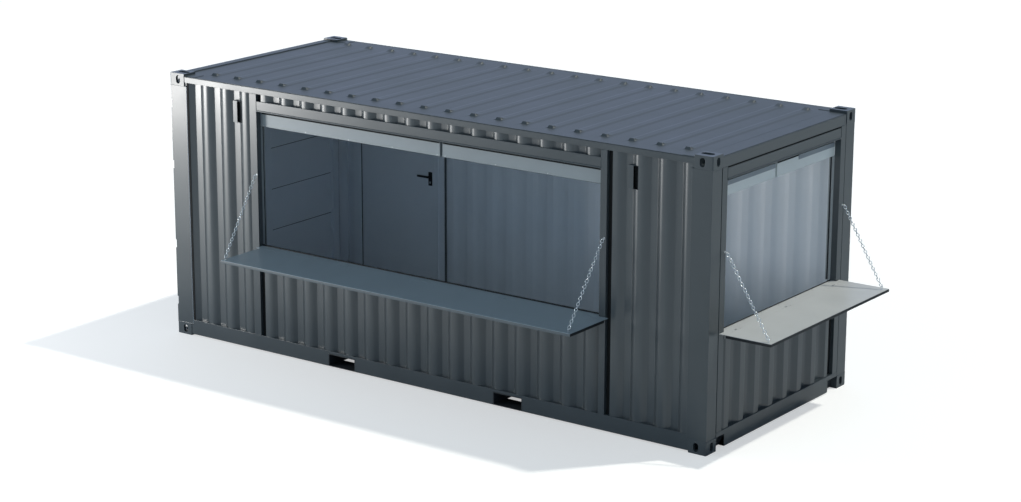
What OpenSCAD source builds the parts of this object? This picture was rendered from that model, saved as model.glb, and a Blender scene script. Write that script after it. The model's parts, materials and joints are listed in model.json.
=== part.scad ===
// Twenty-foot container kiosk: a steel shipping container with a long serving
// opening in one side, a shorter one in the end, a counter flap under each and
// a personnel door in the back.  Lengths run from the cargo-door end (x),
// widths from the serving side (y), heights from under the castings (z).

/* [Container] */
// Length over the corner castings
box_l = 6058; // [5900:1:6200]
// Width over the corner castings
box_w = 2438; // [2300:1:2500]
// Height over the corner castings
box_h = 2591; // [2500:1:2900]
// Width that a corner post shows on the long sides
post_face = 203; // [200:1:230]
// Height of the floor above the ground
floor_top = 160; // [150:1:175]
// Underside of the top side rails
top_rail_z = 2508; // [2490:1:2515]

/* [Corrugated walls] */
// Length of one wave in the side walls
wave_pitch = 245.3; // [240:0.1:250]
// Width of the outer and of the inner flats
wave_flat = 72; // [60:1:80]
// Depth of the side wall's waves
wave_depth = 36; // [20:1:40]
// Thickness of the wall sheets
sheet = 2; // [1.6:0.1:3]

/* [Side opening] */
// Start of the side opening, from the cargo-door end
side_open_x = 1084; // [1050:1:1200]
// Width of the side opening
side_open_w = 3868; // [3000:1:3870]
// Top edge of the sill under both openings
sill_z = 1034; // [900:1:1100]
// Underside of the headers over both openings
head_z = 2340; // [2250:1:2345]

/* [End opening] */
// Start of the end opening, from the serving side
end_open_y = 248; // [240:1:300]
// Width of the end opening
end_open_w = 1942; // [1700:1:1942]

/* [Counters] */
// Reach of the side counter from the wall
side_counter_reach = 575; // [400:5:600]
// Reach of the end counter from the wall
end_counter_reach = 498; // [400:5:600]
// Thickness of both counters
counter_t = 28; // [20:1:40]

/* [Personnel door] */
// Edge of the door's clear opening nearest the cargo doors
door_x = 390; // [380:1:500]
// Clear width of the doorway
door_w = 1025; // [800:1:1030]
// Clear height of the doorway
door_h = 2020; // [1900:1:2040]

/* [Hidden] */

paint = "#4a5158";
inner_paint = "#3c4248";
pale_grey = "#a9b0b4";
zinc = "#b9bcbe";
timber = "#6b5640";

// Corner castings
cast_l = 178;
cast_w = 162;
cast_h = 118;
cast_wall = 28;
cast_round = 14;
slot_l = 124;
slot_w = 63.5;
slot_in_x = 102.5;
slot_in_y = 89.5;
side_slot_l = 79.5;
side_slot_w = 51;

// Bottom frame
rail_z = 14;
rail_web = 5;
rail_flange = 48;
end_rail_in = 60;
rail_face = 5;
board_t = 28;
cross_pitch = 300;
pocket_l = 304;
pocket_from_mid = 955;
pocket_z = 20;
pocket_h = 108;
pocket_plate = 6;

// Top frame and roof
tube = 60;
tube_t = 4;
rail_top_z = 2562;
roof_t = 4;
rib_h = 24;
rib_top = 90;
rib_foot = 118;
rib_pitch = 279.3;
rib_count = 20;
rib_end_y = 200;
rib_slope = 20;
strip_h = 22;

// Waves of the side walls, which run from the middle of the wall outwards
wave_slope = wave_pitch / 2 - wave_flat;
wave_outer = 12;
wave_shift = -16;
wave_start = box_l / 2 - 11.5 * wave_pitch - wave_flat / 2 + wave_shift;
// Waves of the end wall
end_pitch = 250.5;
end_flat = 110;
end_slope = 18;
end_depth = 46;
end_start = 262;
// Joints between the frames and the sheets
seal_w = 52;
seal_in = 38;
seal_t = 12;
end_seal_w = 84;
post_seal = 24;

// Frames of the openings
frame_w = 85;
right_frame_w = 66;
frame_d = 60;
frame_face = 3;
head_h = 100;
end_head_z = 2353;
sill_h = 60;
end_frame_w = 82;
end_slot_h = 14;

// Shutter boxes and guides
shutter_z = 2190;
shutter_top = 2320;
shutter_d = 110;
shutter_gap = 29;
side_split_x = 3206;
end_split_y = 1158;
guide_w = 28;
guide_d = 52;

// Ventilators
vent_z = 2206;
vent_h = 206;
vent_w = 100;
vent_d = 60;
vent_cover = 52;
left_vent_x = 788;
right_vent_x = 5226;

// Hinges of the counters
ledge = 36;
ledge_t = 6;
hinge_out = 50;
hinge_r = 7;
hinge_pin_r = 4;
hinge_play = 0.3;
hinge_len = 120;
counter_gap = 59;
side_counter_x = 1125;
side_counter_end = 5050;
end_counter_y = 172;
end_counter_end = 2252;

// Chains and the eyes that hold them
eye_r = 10;
eye_bar = 3;
eye_out = 22;
chain_r = 5;
chain_top_z = 1738;
side_chain_in = 40;
end_chain_in = 40;

// Personnel door
door_frame_w = 75;
door_face = 22;
leaf_t = 45;
leaf_gap = 8;
door_hinge_r = 8;
door_hinge_y = box_w - 12;
door_hinge_h = 120;
lever_z = 1300;
lever_back = 105;

// Cargo doors
leaf_x = 45;
leaf_d = 50;
leaf_z = 168;
leaf_top = 2468;
leaf_y = 70;
cargo_pin_x = 20;
cargo_pin_y = 35;
cargo_pin_r = 8;
cargo_hinge_z = [330, 900, 1690, 2290];
blade_h = 60;
bar_r = 14;
bar_x = 24;
bar_y = [330, 960];

// ---------------------------------------------------------------- helpers

// Moves a drawing made from the outer corner to the middle of the footprint
module from_corner() translate([-box_l / 2, -box_w / 2, 0]) children();

// The drawing and its mirror image across the middle of the width
module both_sides() {
    children();
    translate([0, box_w, 0]) mirror([0, 1, 0]) children();
}

// The drawing and its mirror image across the middle of the length
module both_ends() {
    children();
    translate([box_l, 0, 0]) mirror([1, 0, 0]) children();
}

// A box between two corners
module block(a, b) translate(a) cube(b - a);

// A straight square tube standing on z, with a wall of tube_t
module upright_tube(a, b) {
    difference() {
        block(a, b);
        block(a + [tube_t, tube_t, -1], b - [tube_t, tube_t, -1]);
    }
}

// A straight square tube lying along x
module long_tube(a, b) {
    difference() {
        block(a, b);
        block(a + [-1, tube_t, tube_t], b - [-1, tube_t, tube_t]);
    }
}

// A straight square tube lying along y
module cross_tube(a, b) {
    difference() {
        block(a, b);
        block(a + [tube_t, -1, tube_t], b - [tube_t, -1, tube_t]);
    }
}

// A slot with round ends along x, cut through a plate that is t thick
module slot(l, w, t) {
    translate([-(l - w) / 2, 0, 0]) cylinder(d = w, h = t, $fn = 48);
    translate([(l - w) / 2, 0, 0]) cylinder(d = w, h = t, $fn = 48);
    translate([-(l - w) / 2, -w / 2, 0]) cube([l - w, w, t]);
}

// Depth of a wave at a, which starts with an outer flat
function wave(a, start, pitch, flat, slope, depth) =
    let (p = (a - start) - pitch * floor((a - start) / pitch))
    p < flat ? 0
    : p < flat + slope ? depth * (p - flat) / slope
    : p < pitch - slope ? depth
    : depth * (pitch - p) / slope;

// Corners of a wave between a and b
function wave_corners(a, b, start, pitch, flat, slope) = concat(
    [a],
    [for (k = [0 : 40])
        for (o = [0, flat, flat + slope, pitch - slope])
            let (c = start + k * pitch + o)
            if (c > a + 1 && c < b - 1) c],
    [b]);

// Outline of a waved sheet along the first axis, set back by outer
module wave_outline(a, b, start, pitch, flat, slope, depth, outer) {
    corners = wave_corners(a, b, start, pitch, flat, slope);
    last = len(corners) - 1;
    polygon(concat(
        [for (c = corners)
            [c, outer + wave(c, start, pitch, flat, slope, depth)]],
        [for (i = [last : -1 : 0])
            [corners[i], outer + sheet
                + wave(corners[i], start, pitch, flat, slope, depth)]]));
}

// A sheet of a side wall from a to b, between two heights
module side_sheet(a, b, low, high) {
    translate([0, 0, low]) linear_extrude(high - low)
        wave_outline(a, b, wave_start, wave_pitch, wave_flat, wave_slope,
            wave_depth, wave_outer);
}

// ---------------------------------------------------------------- castings

// One hollow casting with its outer lower corner at the origin
module casting() {
    difference() {
        linear_extrude(cast_h) {
            difference() {
                square([cast_l, cast_w]);
                square([cast_round, cast_round]);
            }
            translate([cast_round, cast_round]) circle(r = cast_round, $fn = 48);
        }
        block([cast_wall, cast_wall, cast_wall],
            [cast_l - cast_wall, cast_w - cast_wall, cast_h - cast_wall]);
        translate([slot_in_x, slot_in_y, -1]) slot(slot_l, slot_w, cast_wall + 2);
        translate([slot_in_x, -1, cast_h / 2]) rotate([-90, 0, 0])
            rotate([0, 0, 90]) slot(side_slot_l, side_slot_w, cast_wall + 2);
        translate([-1, slot_in_y, cast_h / 2]) rotate([0, 90, 0])
            slot(side_slot_l, side_slot_w, cast_wall + 2);
    }
}

module bottom_castings() color(paint) from_corner() both_sides() both_ends() casting();

module top_castings() color(paint) from_corner() both_sides() both_ends()
    translate([0, 0, box_h]) mirror([0, 0, 1]) casting();

// ---------------------------------------------------------------- posts

// The posts at the cargo doors, cut back where the door hinges stand
module door_end_posts() color(paint) from_corner() both_sides() difference() {
    upright_tube([2, 3, cast_h], [post_face, 62, box_h - cast_h]);
    for (z = cargo_hinge_z) {
        block([0, 12, z - 60], [50, 63, z + 60]);
        block([0, 0, z - 40], [13, 13, z + 40]);
    }
}

// The pressed posts at the kiosk end
module kiosk_end_posts() color(paint) from_corner() both_sides()
    translate([box_l, 0, cast_h]) mirror([1, 0, 0]) linear_extrude(box_h - 2 * cast_h)
        difference() {
            polygon([[4, 4], [post_face, 4], [post_face, 30], [60, 158], [4, 158]]);
            polygon([[10, 10], [post_face - 6, 10], [post_face - 6, 27], [57, 152], [10, 152]]);
        }

// ---------------------------------------------------------------- bottom frame

// A channel along the side, cut out where the fork pockets come through
module bottom_rail() difference() {
    block([cast_l, rail_face, rail_z], [box_l - cast_l, rail_face + rail_flange, floor_top]);
    block([cast_l - 1, rail_face + rail_web, rail_z + rail_web],
        [box_l - cast_l + 1, rail_face + rail_flange + 1, floor_top - rail_web]);
    for (s = [-1, 1]) translate([box_l / 2 + s * pocket_from_mid, 0, 0])
        block([-pocket_l / 2 - pocket_plate, 0, rail_z - 1],
            [pocket_l / 2 + pocket_plate, 100, pocket_z + pocket_h + pocket_plate]);
    for (x = [0, box_l - post_face]) block([x, 0, cast_h], [x + post_face, 100, box_h]);
}

module bottom_side_rails() color(paint) from_corner() both_sides() bottom_rail();

// The rail across the kiosk end, notched at both castings
module end_bottom_rail() color(paint) from_corner() difference() {
    block([box_l - end_rail_in, cast_w, 8], [box_l - 3, box_w - cast_w, floor_top]);
    block([box_l - end_rail_in - 1, cast_w - 1, 8 + rail_web],
        [box_l - 3 - rail_web, box_w - cast_w + 1, floor_top - rail_web]);
    block([box_l - 62, cast_w - 1, 7], [box_l, 300, 118]);
    block([box_l - 62, box_w - 332, 7], [box_l, box_w - cast_w + 1, 118]);
}

// The threshold under the cargo doors and the tube over them
module cargo_door_sill_and_header() color(paint) from_corner() {
    block([48, cast_w, rail_z], [105, box_w - cast_w, floor_top]);
    cross_tube([48, cast_w, leaf_top + 8], [105, box_w - cast_w, rail_top_z]);
}

// Channels under the floor, left out where the fork pockets lie
module cross_members() color(inner_paint) from_corner()
    for (x = [400 : cross_pitch : box_l - 350])
        if (abs(abs(x + 20 - box_l / 2) - pocket_from_mid) > pocket_l / 2 + 40)
            difference() {
                block([x, rail_face + rail_flange, rail_z + 4],
                    [x + 45, box_w - rail_face - rail_flange, floor_top - board_t]);
                block([x + 4, rail_face + rail_flange - 1, rail_z + 8],
                    [x + 46, box_w - rail_face - rail_flange + 1, floor_top - board_t - 4]);
            }

// Plates beside and over each fork pocket, and straps under its mouths
module fork_pockets() color(inner_paint) from_corner()
    for (s = [-1, 1]) translate([box_l / 2 + s * pocket_from_mid - pocket_l / 2, 0, 0]) {
        for (x = [-pocket_plate, pocket_l])
            block([x, rail_face, rail_z],
                [x + pocket_plate, box_w - rail_face, pocket_z + pocket_h]);
        block([-pocket_plate, rail_face, pocket_z + pocket_h],
            [pocket_l + pocket_plate, box_w - rail_face, floor_top - board_t]);
        both_sides() block([0, rail_face, rail_z], [pocket_l, 210, pocket_z]);
    }

module floor_boards() color(timber) from_corner()
    difference() {
        block([105, rail_face + rail_flange, floor_top - board_t],
            [box_l - end_rail_in, box_w - rail_face - rail_flange, floor_top]);
        both_sides() {
            block([0, 0, 0], [post_face, 62, box_h]);
            block([box_l - post_face, 0, 0], [box_l, 158, box_h]);
        }
    }

// ---------------------------------------------------------------- top frame

module top_side_rails() color(paint) from_corner() both_sides()
    long_tube([cast_l, rail_face, top_rail_z], [box_l - cast_l, rail_face + tube, rail_top_z]);

module end_top_rail() color(paint) from_corner()
    cross_tube([box_l - rail_face - tube, cast_w, end_head_z + head_h + end_slot_h],
        [box_l - rail_face, box_w - cast_w, rail_top_z]);

// One pressed rib across the roof, sloped at both ends
module roof_rib() intersection() {
    translate([0, box_w, 0]) rotate([90, 0, 0]) linear_extrude(box_w)
        polygon([[-rib_foot / 2, 0], [rib_foot / 2, 0], [rib_top / 2, rib_h], [-rib_top / 2, rib_h]]);
    rotate([90, 0, 90]) translate([0, 0, -100]) linear_extrude(200)
        polygon([[rib_end_y, 0], [box_w - rib_end_y, 0],
            [box_w - rib_end_y - rib_slope, rib_h], [rib_end_y + rib_slope, rib_h]]);
}

module roof() color(paint) from_corner() {
    difference() {
        block([12, 12, rail_top_z], [box_l - 12, box_w - 12, rail_top_z + roof_t]);
        both_sides() both_ends()
            block([0, 0, rail_top_z - 1], [cast_l, cast_w, rail_top_z + roof_t + 1]);
    }
    for (i = [0 : rib_count - 1])
        translate([box_l / 2 + (i - (rib_count - 1) / 2) * rib_pitch, 0, rail_top_z + roof_t])
            roof_rib();
    both_sides() both_ends()
        block([cast_l, 16, rail_top_z + roof_t], [cast_l + 120, 150, rail_top_z + roof_t + 4]);
    block([12, cast_w, rail_top_z + roof_t], [72, box_w - cast_w, rail_top_z + strip_h]);
}

// ---------------------------------------------------------------- walls

module front_wall_beside_opening() color(paint) from_corner() {
    difference() {
        side_sheet(post_face + post_seal, side_open_x - frame_w, floor_top, top_rail_z);
        vent_hole(left_vent_x);
    }
    difference() {
        side_sheet(side_open_x + side_open_w + right_frame_w + seal_w, box_l - post_face,
            floor_top, top_rail_z);
        vent_hole(right_vent_x);
    }
}

module front_wall_under_opening() color(paint) from_corner()
    side_sheet(side_open_x + seal_w, side_open_x + side_open_w, floor_top, sill_z - sill_h);

module front_wall_over_opening() color(paint) from_corner()
    side_sheet(side_open_x + seal_w, side_open_x + side_open_w, head_z + head_h, top_rail_z);

// A sheet of the back wall, the mirror image of the front one
module back_sheet(a, b, low, high)
    from_corner() translate([0, box_w, 0]) mirror([0, 1, 0]) side_sheet(a, b, low, high);

module back_wall_beside_door() color(paint) {
    back_sheet(post_face, door_x - door_frame_w, floor_top, top_rail_z);
    back_sheet(door_x + door_w + door_frame_w, box_l - post_face, floor_top, top_rail_z);
}

module back_wall_over_door() color(paint)
    back_sheet(door_x, door_x + door_w, floor_top + 15 + door_h + door_frame_w, top_rail_z);

module end_wall_under_opening() color(paint) from_corner()
    translate([box_l, 0, floor_top]) rotate([0, 0, 90])
        linear_extrude(sill_z - sill_h - floor_top)
            wave_outline(end_open_y, end_open_y + end_open_w - end_seal_w, end_start,
                end_pitch, end_flat, end_slope, end_depth, wave_outer);

// Set-back sealing strips in the joints between the frames and the sheets
module wall_seals() color("#17191b") from_corner() {
    x = side_open_x + side_open_w + right_frame_w;
    block([post_face, seal_in, floor_top], [post_face + post_seal, seal_in + seal_t, top_rail_z]);
    block([x, seal_in, floor_top], [x + seal_w, seal_in + seal_t, top_rail_z]);
    block([side_open_x, seal_in, floor_top],
        [side_open_x + seal_w, seal_in + seal_t, sill_z - sill_h]);
    block([side_open_x, seal_in, head_z + head_h],
        [side_open_x + seal_w, seal_in + seal_t, top_rail_z]);
    block([box_l - seal_in - seal_t, end_open_y + end_open_w - end_seal_w, floor_top],
        [box_l - seal_in, end_open_y + end_open_w, sill_z - sill_h]);
}

// ---------------------------------------------------------------- openings

module side_frame_posts() color(paint) from_corner() {
    upright_tube([side_open_x - frame_w, frame_face, floor_top],
        [side_open_x, frame_face + frame_d, top_rail_z]);
    upright_tube([side_open_x + side_open_w, frame_face, floor_top],
        [side_open_x + side_open_w + right_frame_w, frame_face + frame_d, top_rail_z]);
}

// Fixed half of a counter hinge along x, with its middle at the origin
module fixed_hinge() {
    for (s = [-1, 1]) translate([s * hinge_len / 3, 0, 0]) {
        rotate([0, 90, 0]) cylinder(r = hinge_r, h = hinge_len / 3 - 2, center = true, $fn = 48);
        block([-hinge_len / 6 + 1, 0, 1], [hinge_len / 6 - 1, hinge_out - ledge + 1, hinge_r]);
    }
    rotate([0, 90, 0]) cylinder(r = hinge_pin_r, h = hinge_len, center = true, $fn = 48);
}

// Moving half of a counter hinge, which turns on the pin
module moving_hinge() difference() {
    union() {
        rotate([0, 90, 0])
            cylinder(r = hinge_r, h = hinge_len / 3 - 4, center = true, $fn = 48);
        block([-hinge_len / 6 + 2, hinge_out - counter_gap - 1, 1],
            [hinge_len / 6 - 2, 0, hinge_r]);
    }
    rotate([0, 90, 0])
        cylinder(r = hinge_pin_r + hinge_play, h = hinge_len, center = true, $fn = 48);
}

side_counter_mid = (side_counter_x + side_counter_end) / 2;
side_hinges = [for (i = [-2 : 2]) side_counter_mid + i * 900];
end_counter_mid = (end_counter_y + end_counter_end) / 2;
end_hinges = [for (i = [-1 : 1]) end_counter_mid + i * 850];
hinge_z = sill_z + ledge_t - hinge_r;

module end_frame_posts() color(paint) from_corner()
    for (y = [end_open_y - end_frame_w, end_open_y + end_open_w])
        upright_tube([box_l - frame_face - frame_d, y, floor_top],
            [box_l - frame_face, y + end_frame_w, end_head_z + head_h + end_slot_h]);

// Both header tubes, the end one with a strip that closes the slot above it
module opening_headers() color(paint) from_corner() {
    long_tube([side_open_x, frame_face, head_z],
        [side_open_x + side_open_w, frame_face + frame_d, head_z + head_h]);
    cross_tube([box_l - frame_face - frame_d, end_open_y, end_head_z],
        [box_l - frame_face, end_open_y + end_open_w, end_head_z + head_h]);
    block([box_l - frame_face - frame_d, end_open_y, end_head_z + head_h],
        [box_l - frame_face - frame_d + tube_t, end_open_y + end_open_w,
            end_head_z + head_h + end_slot_h]);
}

module opening_sills() color(paint) from_corner() {
    long_tube([side_open_x, frame_face, sill_z - sill_h],
        [side_open_x + side_open_w, frame_face + frame_d, sill_z]);
    cross_tube([box_l - frame_face - frame_d, end_open_y, sill_z - sill_h],
        [box_l - frame_face, end_open_y + end_open_w, sill_z]);
}

// Turns a hinge drawn along x so that it runs along y at the kiosk end
module at_kiosk_end(y, z) translate([box_l + hinge_out, y, z]) rotate([0, 0, 90]) children();

// Strips on the sills, which reach out to the fixed halves of the hinges
module sill_strips() color(pale_grey) from_corner() {
    block([side_open_x, -ledge, sill_z],
        [side_open_x + side_open_w, frame_face + frame_d, sill_z + ledge_t]);
    block([side_open_x + side_open_w - 1, -ledge, sill_z],
        [side_counter_end, 0, sill_z + ledge_t]);
    block([box_l - frame_face - frame_d, end_open_y, sill_z],
        [box_l + ledge, end_open_y + end_open_w, sill_z + ledge_t]);
    block([box_l, end_counter_y, sill_z], [box_l + ledge, end_open_y + 1, sill_z + ledge_t]);
    block([box_l, end_open_y + end_open_w - 1, sill_z],
        [box_l + ledge, end_counter_end, sill_z + ledge_t]);
    for (x = side_hinges) translate([x, -hinge_out, hinge_z]) fixed_hinge();
    for (y = end_hinges) at_kiosk_end(y, hinge_z) fixed_hinge();
}

// ---------------------------------------------------------------- shutters

shutter_in = frame_face + frame_d + 4;

// Casings in which the curtains are rolled up, in two lengths for each opening
module side_shutter_boxes() color(pale_grey) from_corner() {
    block([side_open_x + 4, shutter_in, shutter_z],
        [side_split_x - shutter_gap / 2, shutter_in + shutter_d, shutter_top]);
    block([side_split_x + shutter_gap / 2, shutter_in, shutter_z],
        [side_open_x + side_open_w - 4, shutter_in + shutter_d, shutter_top]);
}

module end_shutter_boxes() color(pale_grey) from_corner() {
    block([box_l - shutter_in - shutter_d, end_open_y + 4, shutter_z],
        [box_l - shutter_in, end_split_y - shutter_gap / 2, shutter_top]);
    block([box_l - shutter_in - shutter_d, end_split_y + shutter_gap / 2, shutter_z],
        [box_l - shutter_in, end_open_y + end_open_w - 4, shutter_top]);
}

// A guide behind a frame post, with the curtain's slot open towards +x
module guide() difference() {
    block([-guide_w, 0, sill_z + ledge_t], [0, guide_d, shutter_z]);
    block([-guide_w + 4, 26, sill_z + ledge_t - 1], [1, guide_d - 12, shutter_z + 1]);
}

module shutter_guides() color(pale_grey) from_corner() {
    back = frame_face + frame_d;
    translate([side_open_x, back, 0]) guide();
    translate([side_open_x + side_open_w, back, 0]) mirror([1, 0, 0]) guide();
    translate([box_l - back, end_open_y, 0]) rotate([0, 0, 90]) guide();
    translate([box_l - back, end_open_y + end_open_w, 0])
        mirror([0, 1, 0]) rotate([0, 0, 90]) guide();
}

// ---------------------------------------------------------------- vents

// A ventilator hood in the hollow of a wave, open at its side
module vent_hood() difference() {
    block([0, wave_outer, vent_z], [wave_flat, wave_outer + wave_depth, vent_z + vent_h]);
    block([4, wave_outer + 3, vent_z + 4],
        [wave_flat + 1, wave_outer + wave_depth + 1, vent_z + vent_h - 4]);
}

// A ventilator box let into the front wall, half of its front left open
module vent_box(x) translate([x, wave_outer - 2, vent_z]) difference() {
    block([0, 0, 0], [vent_w, vent_d, vent_h]);
    block([3, 3, 3], [vent_w - 3, vent_d - 3, vent_h - 3]);
    block([vent_cover, -1, 3], [vent_w - 3, 4, vent_h - 3]);
}

// The hole in the wall sheet that takes a ventilator box
module vent_hole(x) block([x, 0, vent_z], [x + vent_w, 100, vent_z + vent_h]);

module vents() color(paint) from_corner() {
    vent_box(left_vent_x);
    vent_box(right_vent_x);
    translate([0, box_w, 0]) mirror([0, 1, 0])
        for (k = [-5, 9])
            translate([box_l / 2 + k * wave_pitch - wave_flat / 2 + wave_shift, 0, 0]) vent_hood();
}

// ---------------------------------------------------------------- counters

// An eye bolt that stands out along z from a face at the origin
module eye_bolt() {
    cylinder(r = 9, h = 3, $fn = 32);
    cylinder(r = eye_bar, h = eye_out - eye_r, $fn = 32);
    translate([0, 0, eye_out]) rotate([90, 0, 0])
        rotate_extrude($fn = 48) translate([eye_r, 0]) circle(r = eye_bar, $fn = 24);
}

side_eyes_wall = [side_open_x - 8, side_open_x + side_open_w + 48];
side_eyes_flap = [side_counter_x + 18, side_counter_end - 42];
end_eyes_wall = [end_open_y - 21, end_open_y + end_open_w + 61];
end_eyes_flap = [end_counter_y + 28, end_counter_end - 60];
side_eye_y = -side_counter_reach + side_chain_in;
end_eye_x = box_l + end_counter_reach - end_chain_in;
flap_top = sill_z + ledge_t;

module wall_chain_eyes() color(zinc) from_corner() {
    for (x = side_eyes_wall) translate([x, frame_face, chain_top_z])
        rotate([90, 0, 0]) eye_bolt();
    for (y = end_eyes_wall) translate([box_l - frame_face, y, chain_top_z])
        rotate([0, 90, 0]) rotate([0, 0, 90]) eye_bolt();
}

module side_counter() color(paint) from_corner() {
    block([side_counter_x, -side_counter_reach, flap_top - counter_t],
        [side_counter_end, -counter_gap, flap_top]);
    for (x = side_hinges) translate([x, -hinge_out, hinge_z]) moving_hinge();
}

module side_counter_eyes() color(zinc) from_corner()
    for (x = side_eyes_flap) translate([x, side_eye_y, flap_top]) rotate([0, 0, 90]) eye_bolt();

module end_counter() color(pale_grey) from_corner() {
    block([box_l + counter_gap, end_counter_y, flap_top - counter_t],
        [box_l + end_counter_reach, end_counter_end, flap_top]);
    for (y = end_hinges) at_kiosk_end(y, hinge_z) moving_hinge();
}

module end_counter_eyes() color(zinc) from_corner()
    for (y = end_eyes_flap) translate([end_eye_x, y, flap_top]) eye_bolt();

// A taut chain between the centres of two eyes, drawn as a plain round bar
module chain_between(a, b) {
    run = b - a;
    l = norm(run);
    short = eye_r + eye_bar + 1;
    translate(a) rotate([0, acos(run[2] / l), atan2(run[1], run[0])])
        translate([0, 0, short]) cylinder(r = chain_r, h = l - 2 * short, $fn = 16);
}

module side_chains() color(zinc) from_corner() for (i = [0, 1])
    chain_between([side_eyes_wall[i], frame_face - eye_out, chain_top_z],
        [side_eyes_flap[i], side_eye_y, flap_top + eye_out]);

module end_chains() color(zinc) from_corner() for (i = [0, 1])
    chain_between([box_l - frame_face + eye_out, end_eyes_wall[i], chain_top_z],
        [end_eye_x, end_eyes_flap[i], flap_top + eye_out]);

// ---------------------------------------------------------------- personnel door

door_z = floor_top + 15;
door_outer = box_w - door_face;
door_hinges_z = [door_z + 250, door_z + door_h / 2, door_z + door_h - 250];

module personnel_door_frame() color(paint) from_corner() {
    for (x = [door_x - door_frame_w, door_x + door_w])
        upright_tube([x, door_outer - frame_d, floor_top],
            [x + door_frame_w, door_outer, top_rail_z]);
    long_tube([door_x, door_outer - frame_d, door_z + door_h],
        [door_x + door_w, door_outer, door_z + door_h + door_frame_w]);
    block([door_x, door_outer - frame_d, floor_top], [door_x + door_w, door_outer, door_z - 3]);
    for (x = [door_x - 1, door_x + door_w - 18])
        block([x, door_outer - frame_d - 10, door_z - 3],
            [x + 19, door_outer - leaf_t - 6, door_z + door_h]);
    block([door_x, door_outer - frame_d - 10, door_z + door_h - 18],
        [door_x + door_w, door_outer - leaf_t - 6, door_z + door_h + 1]);
    for (z = door_hinges_z) {
        for (s = [-1, 1]) translate([door_x + leaf_gap / 2, door_hinge_y, z + s * door_hinge_h / 3]) {
            cylinder(r = door_hinge_r, h = door_hinge_h / 3 - 2, center = true, $fn = 48);
            block([-38, door_outer - door_hinge_y, -door_hinge_h / 6 + 1],
                [-2, -4, door_hinge_h / 6 - 1]);
        }
        translate([door_x + leaf_gap / 2, door_hinge_y, z])
            cylinder(r = hinge_pin_r, h = door_hinge_h, center = true, $fn = 48);
    }
}

module personnel_door() color(paint) from_corner() {
    block([door_x + leaf_gap, door_outer - leaf_t, door_z + 5],
        [door_x + door_w - leaf_gap, door_outer, door_z + door_h - leaf_gap]);
    for (z = door_hinges_z) translate([door_x + leaf_gap / 2, door_hinge_y, z]) difference() {
        union() {
            cylinder(r = door_hinge_r, h = door_hinge_h / 3 - 4, center = true, $fn = 48);
            block([2, door_outer - door_hinge_y - 1, -door_hinge_h / 6 + 2],
                [38, -4, door_hinge_h / 6 - 2]);
        }
        cylinder(r = hinge_pin_r + hinge_play, h = door_hinge_h, center = true, $fn = 48);
    }
}

// Lever, plate and spindle on a face of the door, standing out along y
module lever() {
    block([-22, 0, -95], [22, 8, 45]);
    rotate([-90, 0, 0]) cylinder(r = 11, h = 54, $fn = 32);
    translate([0, 48, 0]) rotate([0, -90, 0]) cylinder(r = 11, h = 130, $fn = 32);
}

module personnel_door_levers() color("#202224") from_corner()
    translate([door_x + door_w - leaf_gap - lever_back, 0, lever_z]) {
        translate([0, door_outer - leaf_t, 0]) mirror([0, 1, 0]) lever();
        translate([0, door_outer, 0]) lever_outside();
    }

// The outside lever is flat, so that it stays inside the container's width
module lever_outside() {
    block([-22, 0, -95], [22, 5, 45]);
    rotate([-90, 0, 0]) cylinder(r = 9, h = 20, $fn = 32);
    block([-130, 10, -10], [10, 20, 10]);
}

// ---------------------------------------------------------------- cargo doors

// One leaf: a tube frame, a panel with pressed ribs and four hinge blades
module cargo_leaf() {
    y1 = box_w / 2 - 6;
    difference() {
        block([leaf_x, leaf_y, leaf_z], [leaf_x + leaf_d, y1, leaf_top]);
        block([leaf_x - 1, leaf_y + 90, leaf_z + 90], [leaf_x + leaf_d + 1, y1 - 90, leaf_top - 90]);
    }
    translate([0, y1 - 89, 0]) rotate([90, 0, 0]) linear_extrude(y1 - leaf_y - 178)
        rib_panel_outline();
    for (z = cargo_hinge_z) difference() {
        translate([0, 0, z - blade_h / 2]) {
            translate([cargo_pin_x, cargo_pin_y, 0]) cylinder(r = 13, h = blade_h, $fn = 48);
            linear_extrude(blade_h) polygon([[14, 38], [24, 31], [46, 62],
                [46, leaf_y + 120], [leaf_x - 8, leaf_y + 120], [leaf_x - 8, leaf_y]]);
        }
        translate([cargo_pin_x, cargo_pin_y, z - blade_h])
            cylinder(r = cargo_pin_r + hinge_play, h = 2 * blade_h, $fn = 48);
    }
}

// Section of the leaf's panel: five wide ribs that stand inwards
module rib_panel_outline() {
    low = leaf_z + 89;
    high = leaf_top - 89;
    step = (high - low) / 5;
    front = [for (k = [0 : 4]) for (q = [[0.18, 0], [0.3, 1], [0.7, 1], [0.82, 0]])
        [leaf_x + 8 + 30 * q[1], low + (k + q[0]) * step]];
    last = len(front) - 1;
    polygon(concat([[leaf_x + 8, low]], front, [[leaf_x + 8, high]], [[leaf_x + 10.5, high]],
        [for (i = [last : -1 : 0]) front[i] + [2.5, 0]], [[leaf_x + 10.5, low]]));
}

// Two lock bars of one leaf, with their brackets, cams and handles
module lock_bars() for (y = bar_y) translate([bar_x, y, 0]) {
    translate([0, 0, 110]) cylinder(r = bar_r, h = 2440, $fn = 48);
    for (z = [110, 2516]) block([-14, -22, z], [14, 22, z + 34]);
    for (z = [300, 1000, 1700, 2300])
        block([-17, -24, z], [leaf_x - bar_x, 24, z + 50]);
    s = y < 600 ? 1 : -1;
    translate([0, 0, 1180]) mirror([0, s < 0 ? 1 : 0, 0])
        block([-17, 0, 0], [-5, 400, 36]);
}

module front_cargo_leaf() color(paint) from_corner() cargo_leaf();

module front_lock_bars() color(paint) from_corner() lock_bars();

module back_cargo_leaf() color(paint) from_corner()
    translate([0, box_w, 0]) mirror([0, 1, 0]) cargo_leaf();

module back_lock_bars() color(paint) from_corner()
    translate([0, box_w, 0]) mirror([0, 1, 0]) lock_bars();

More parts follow.
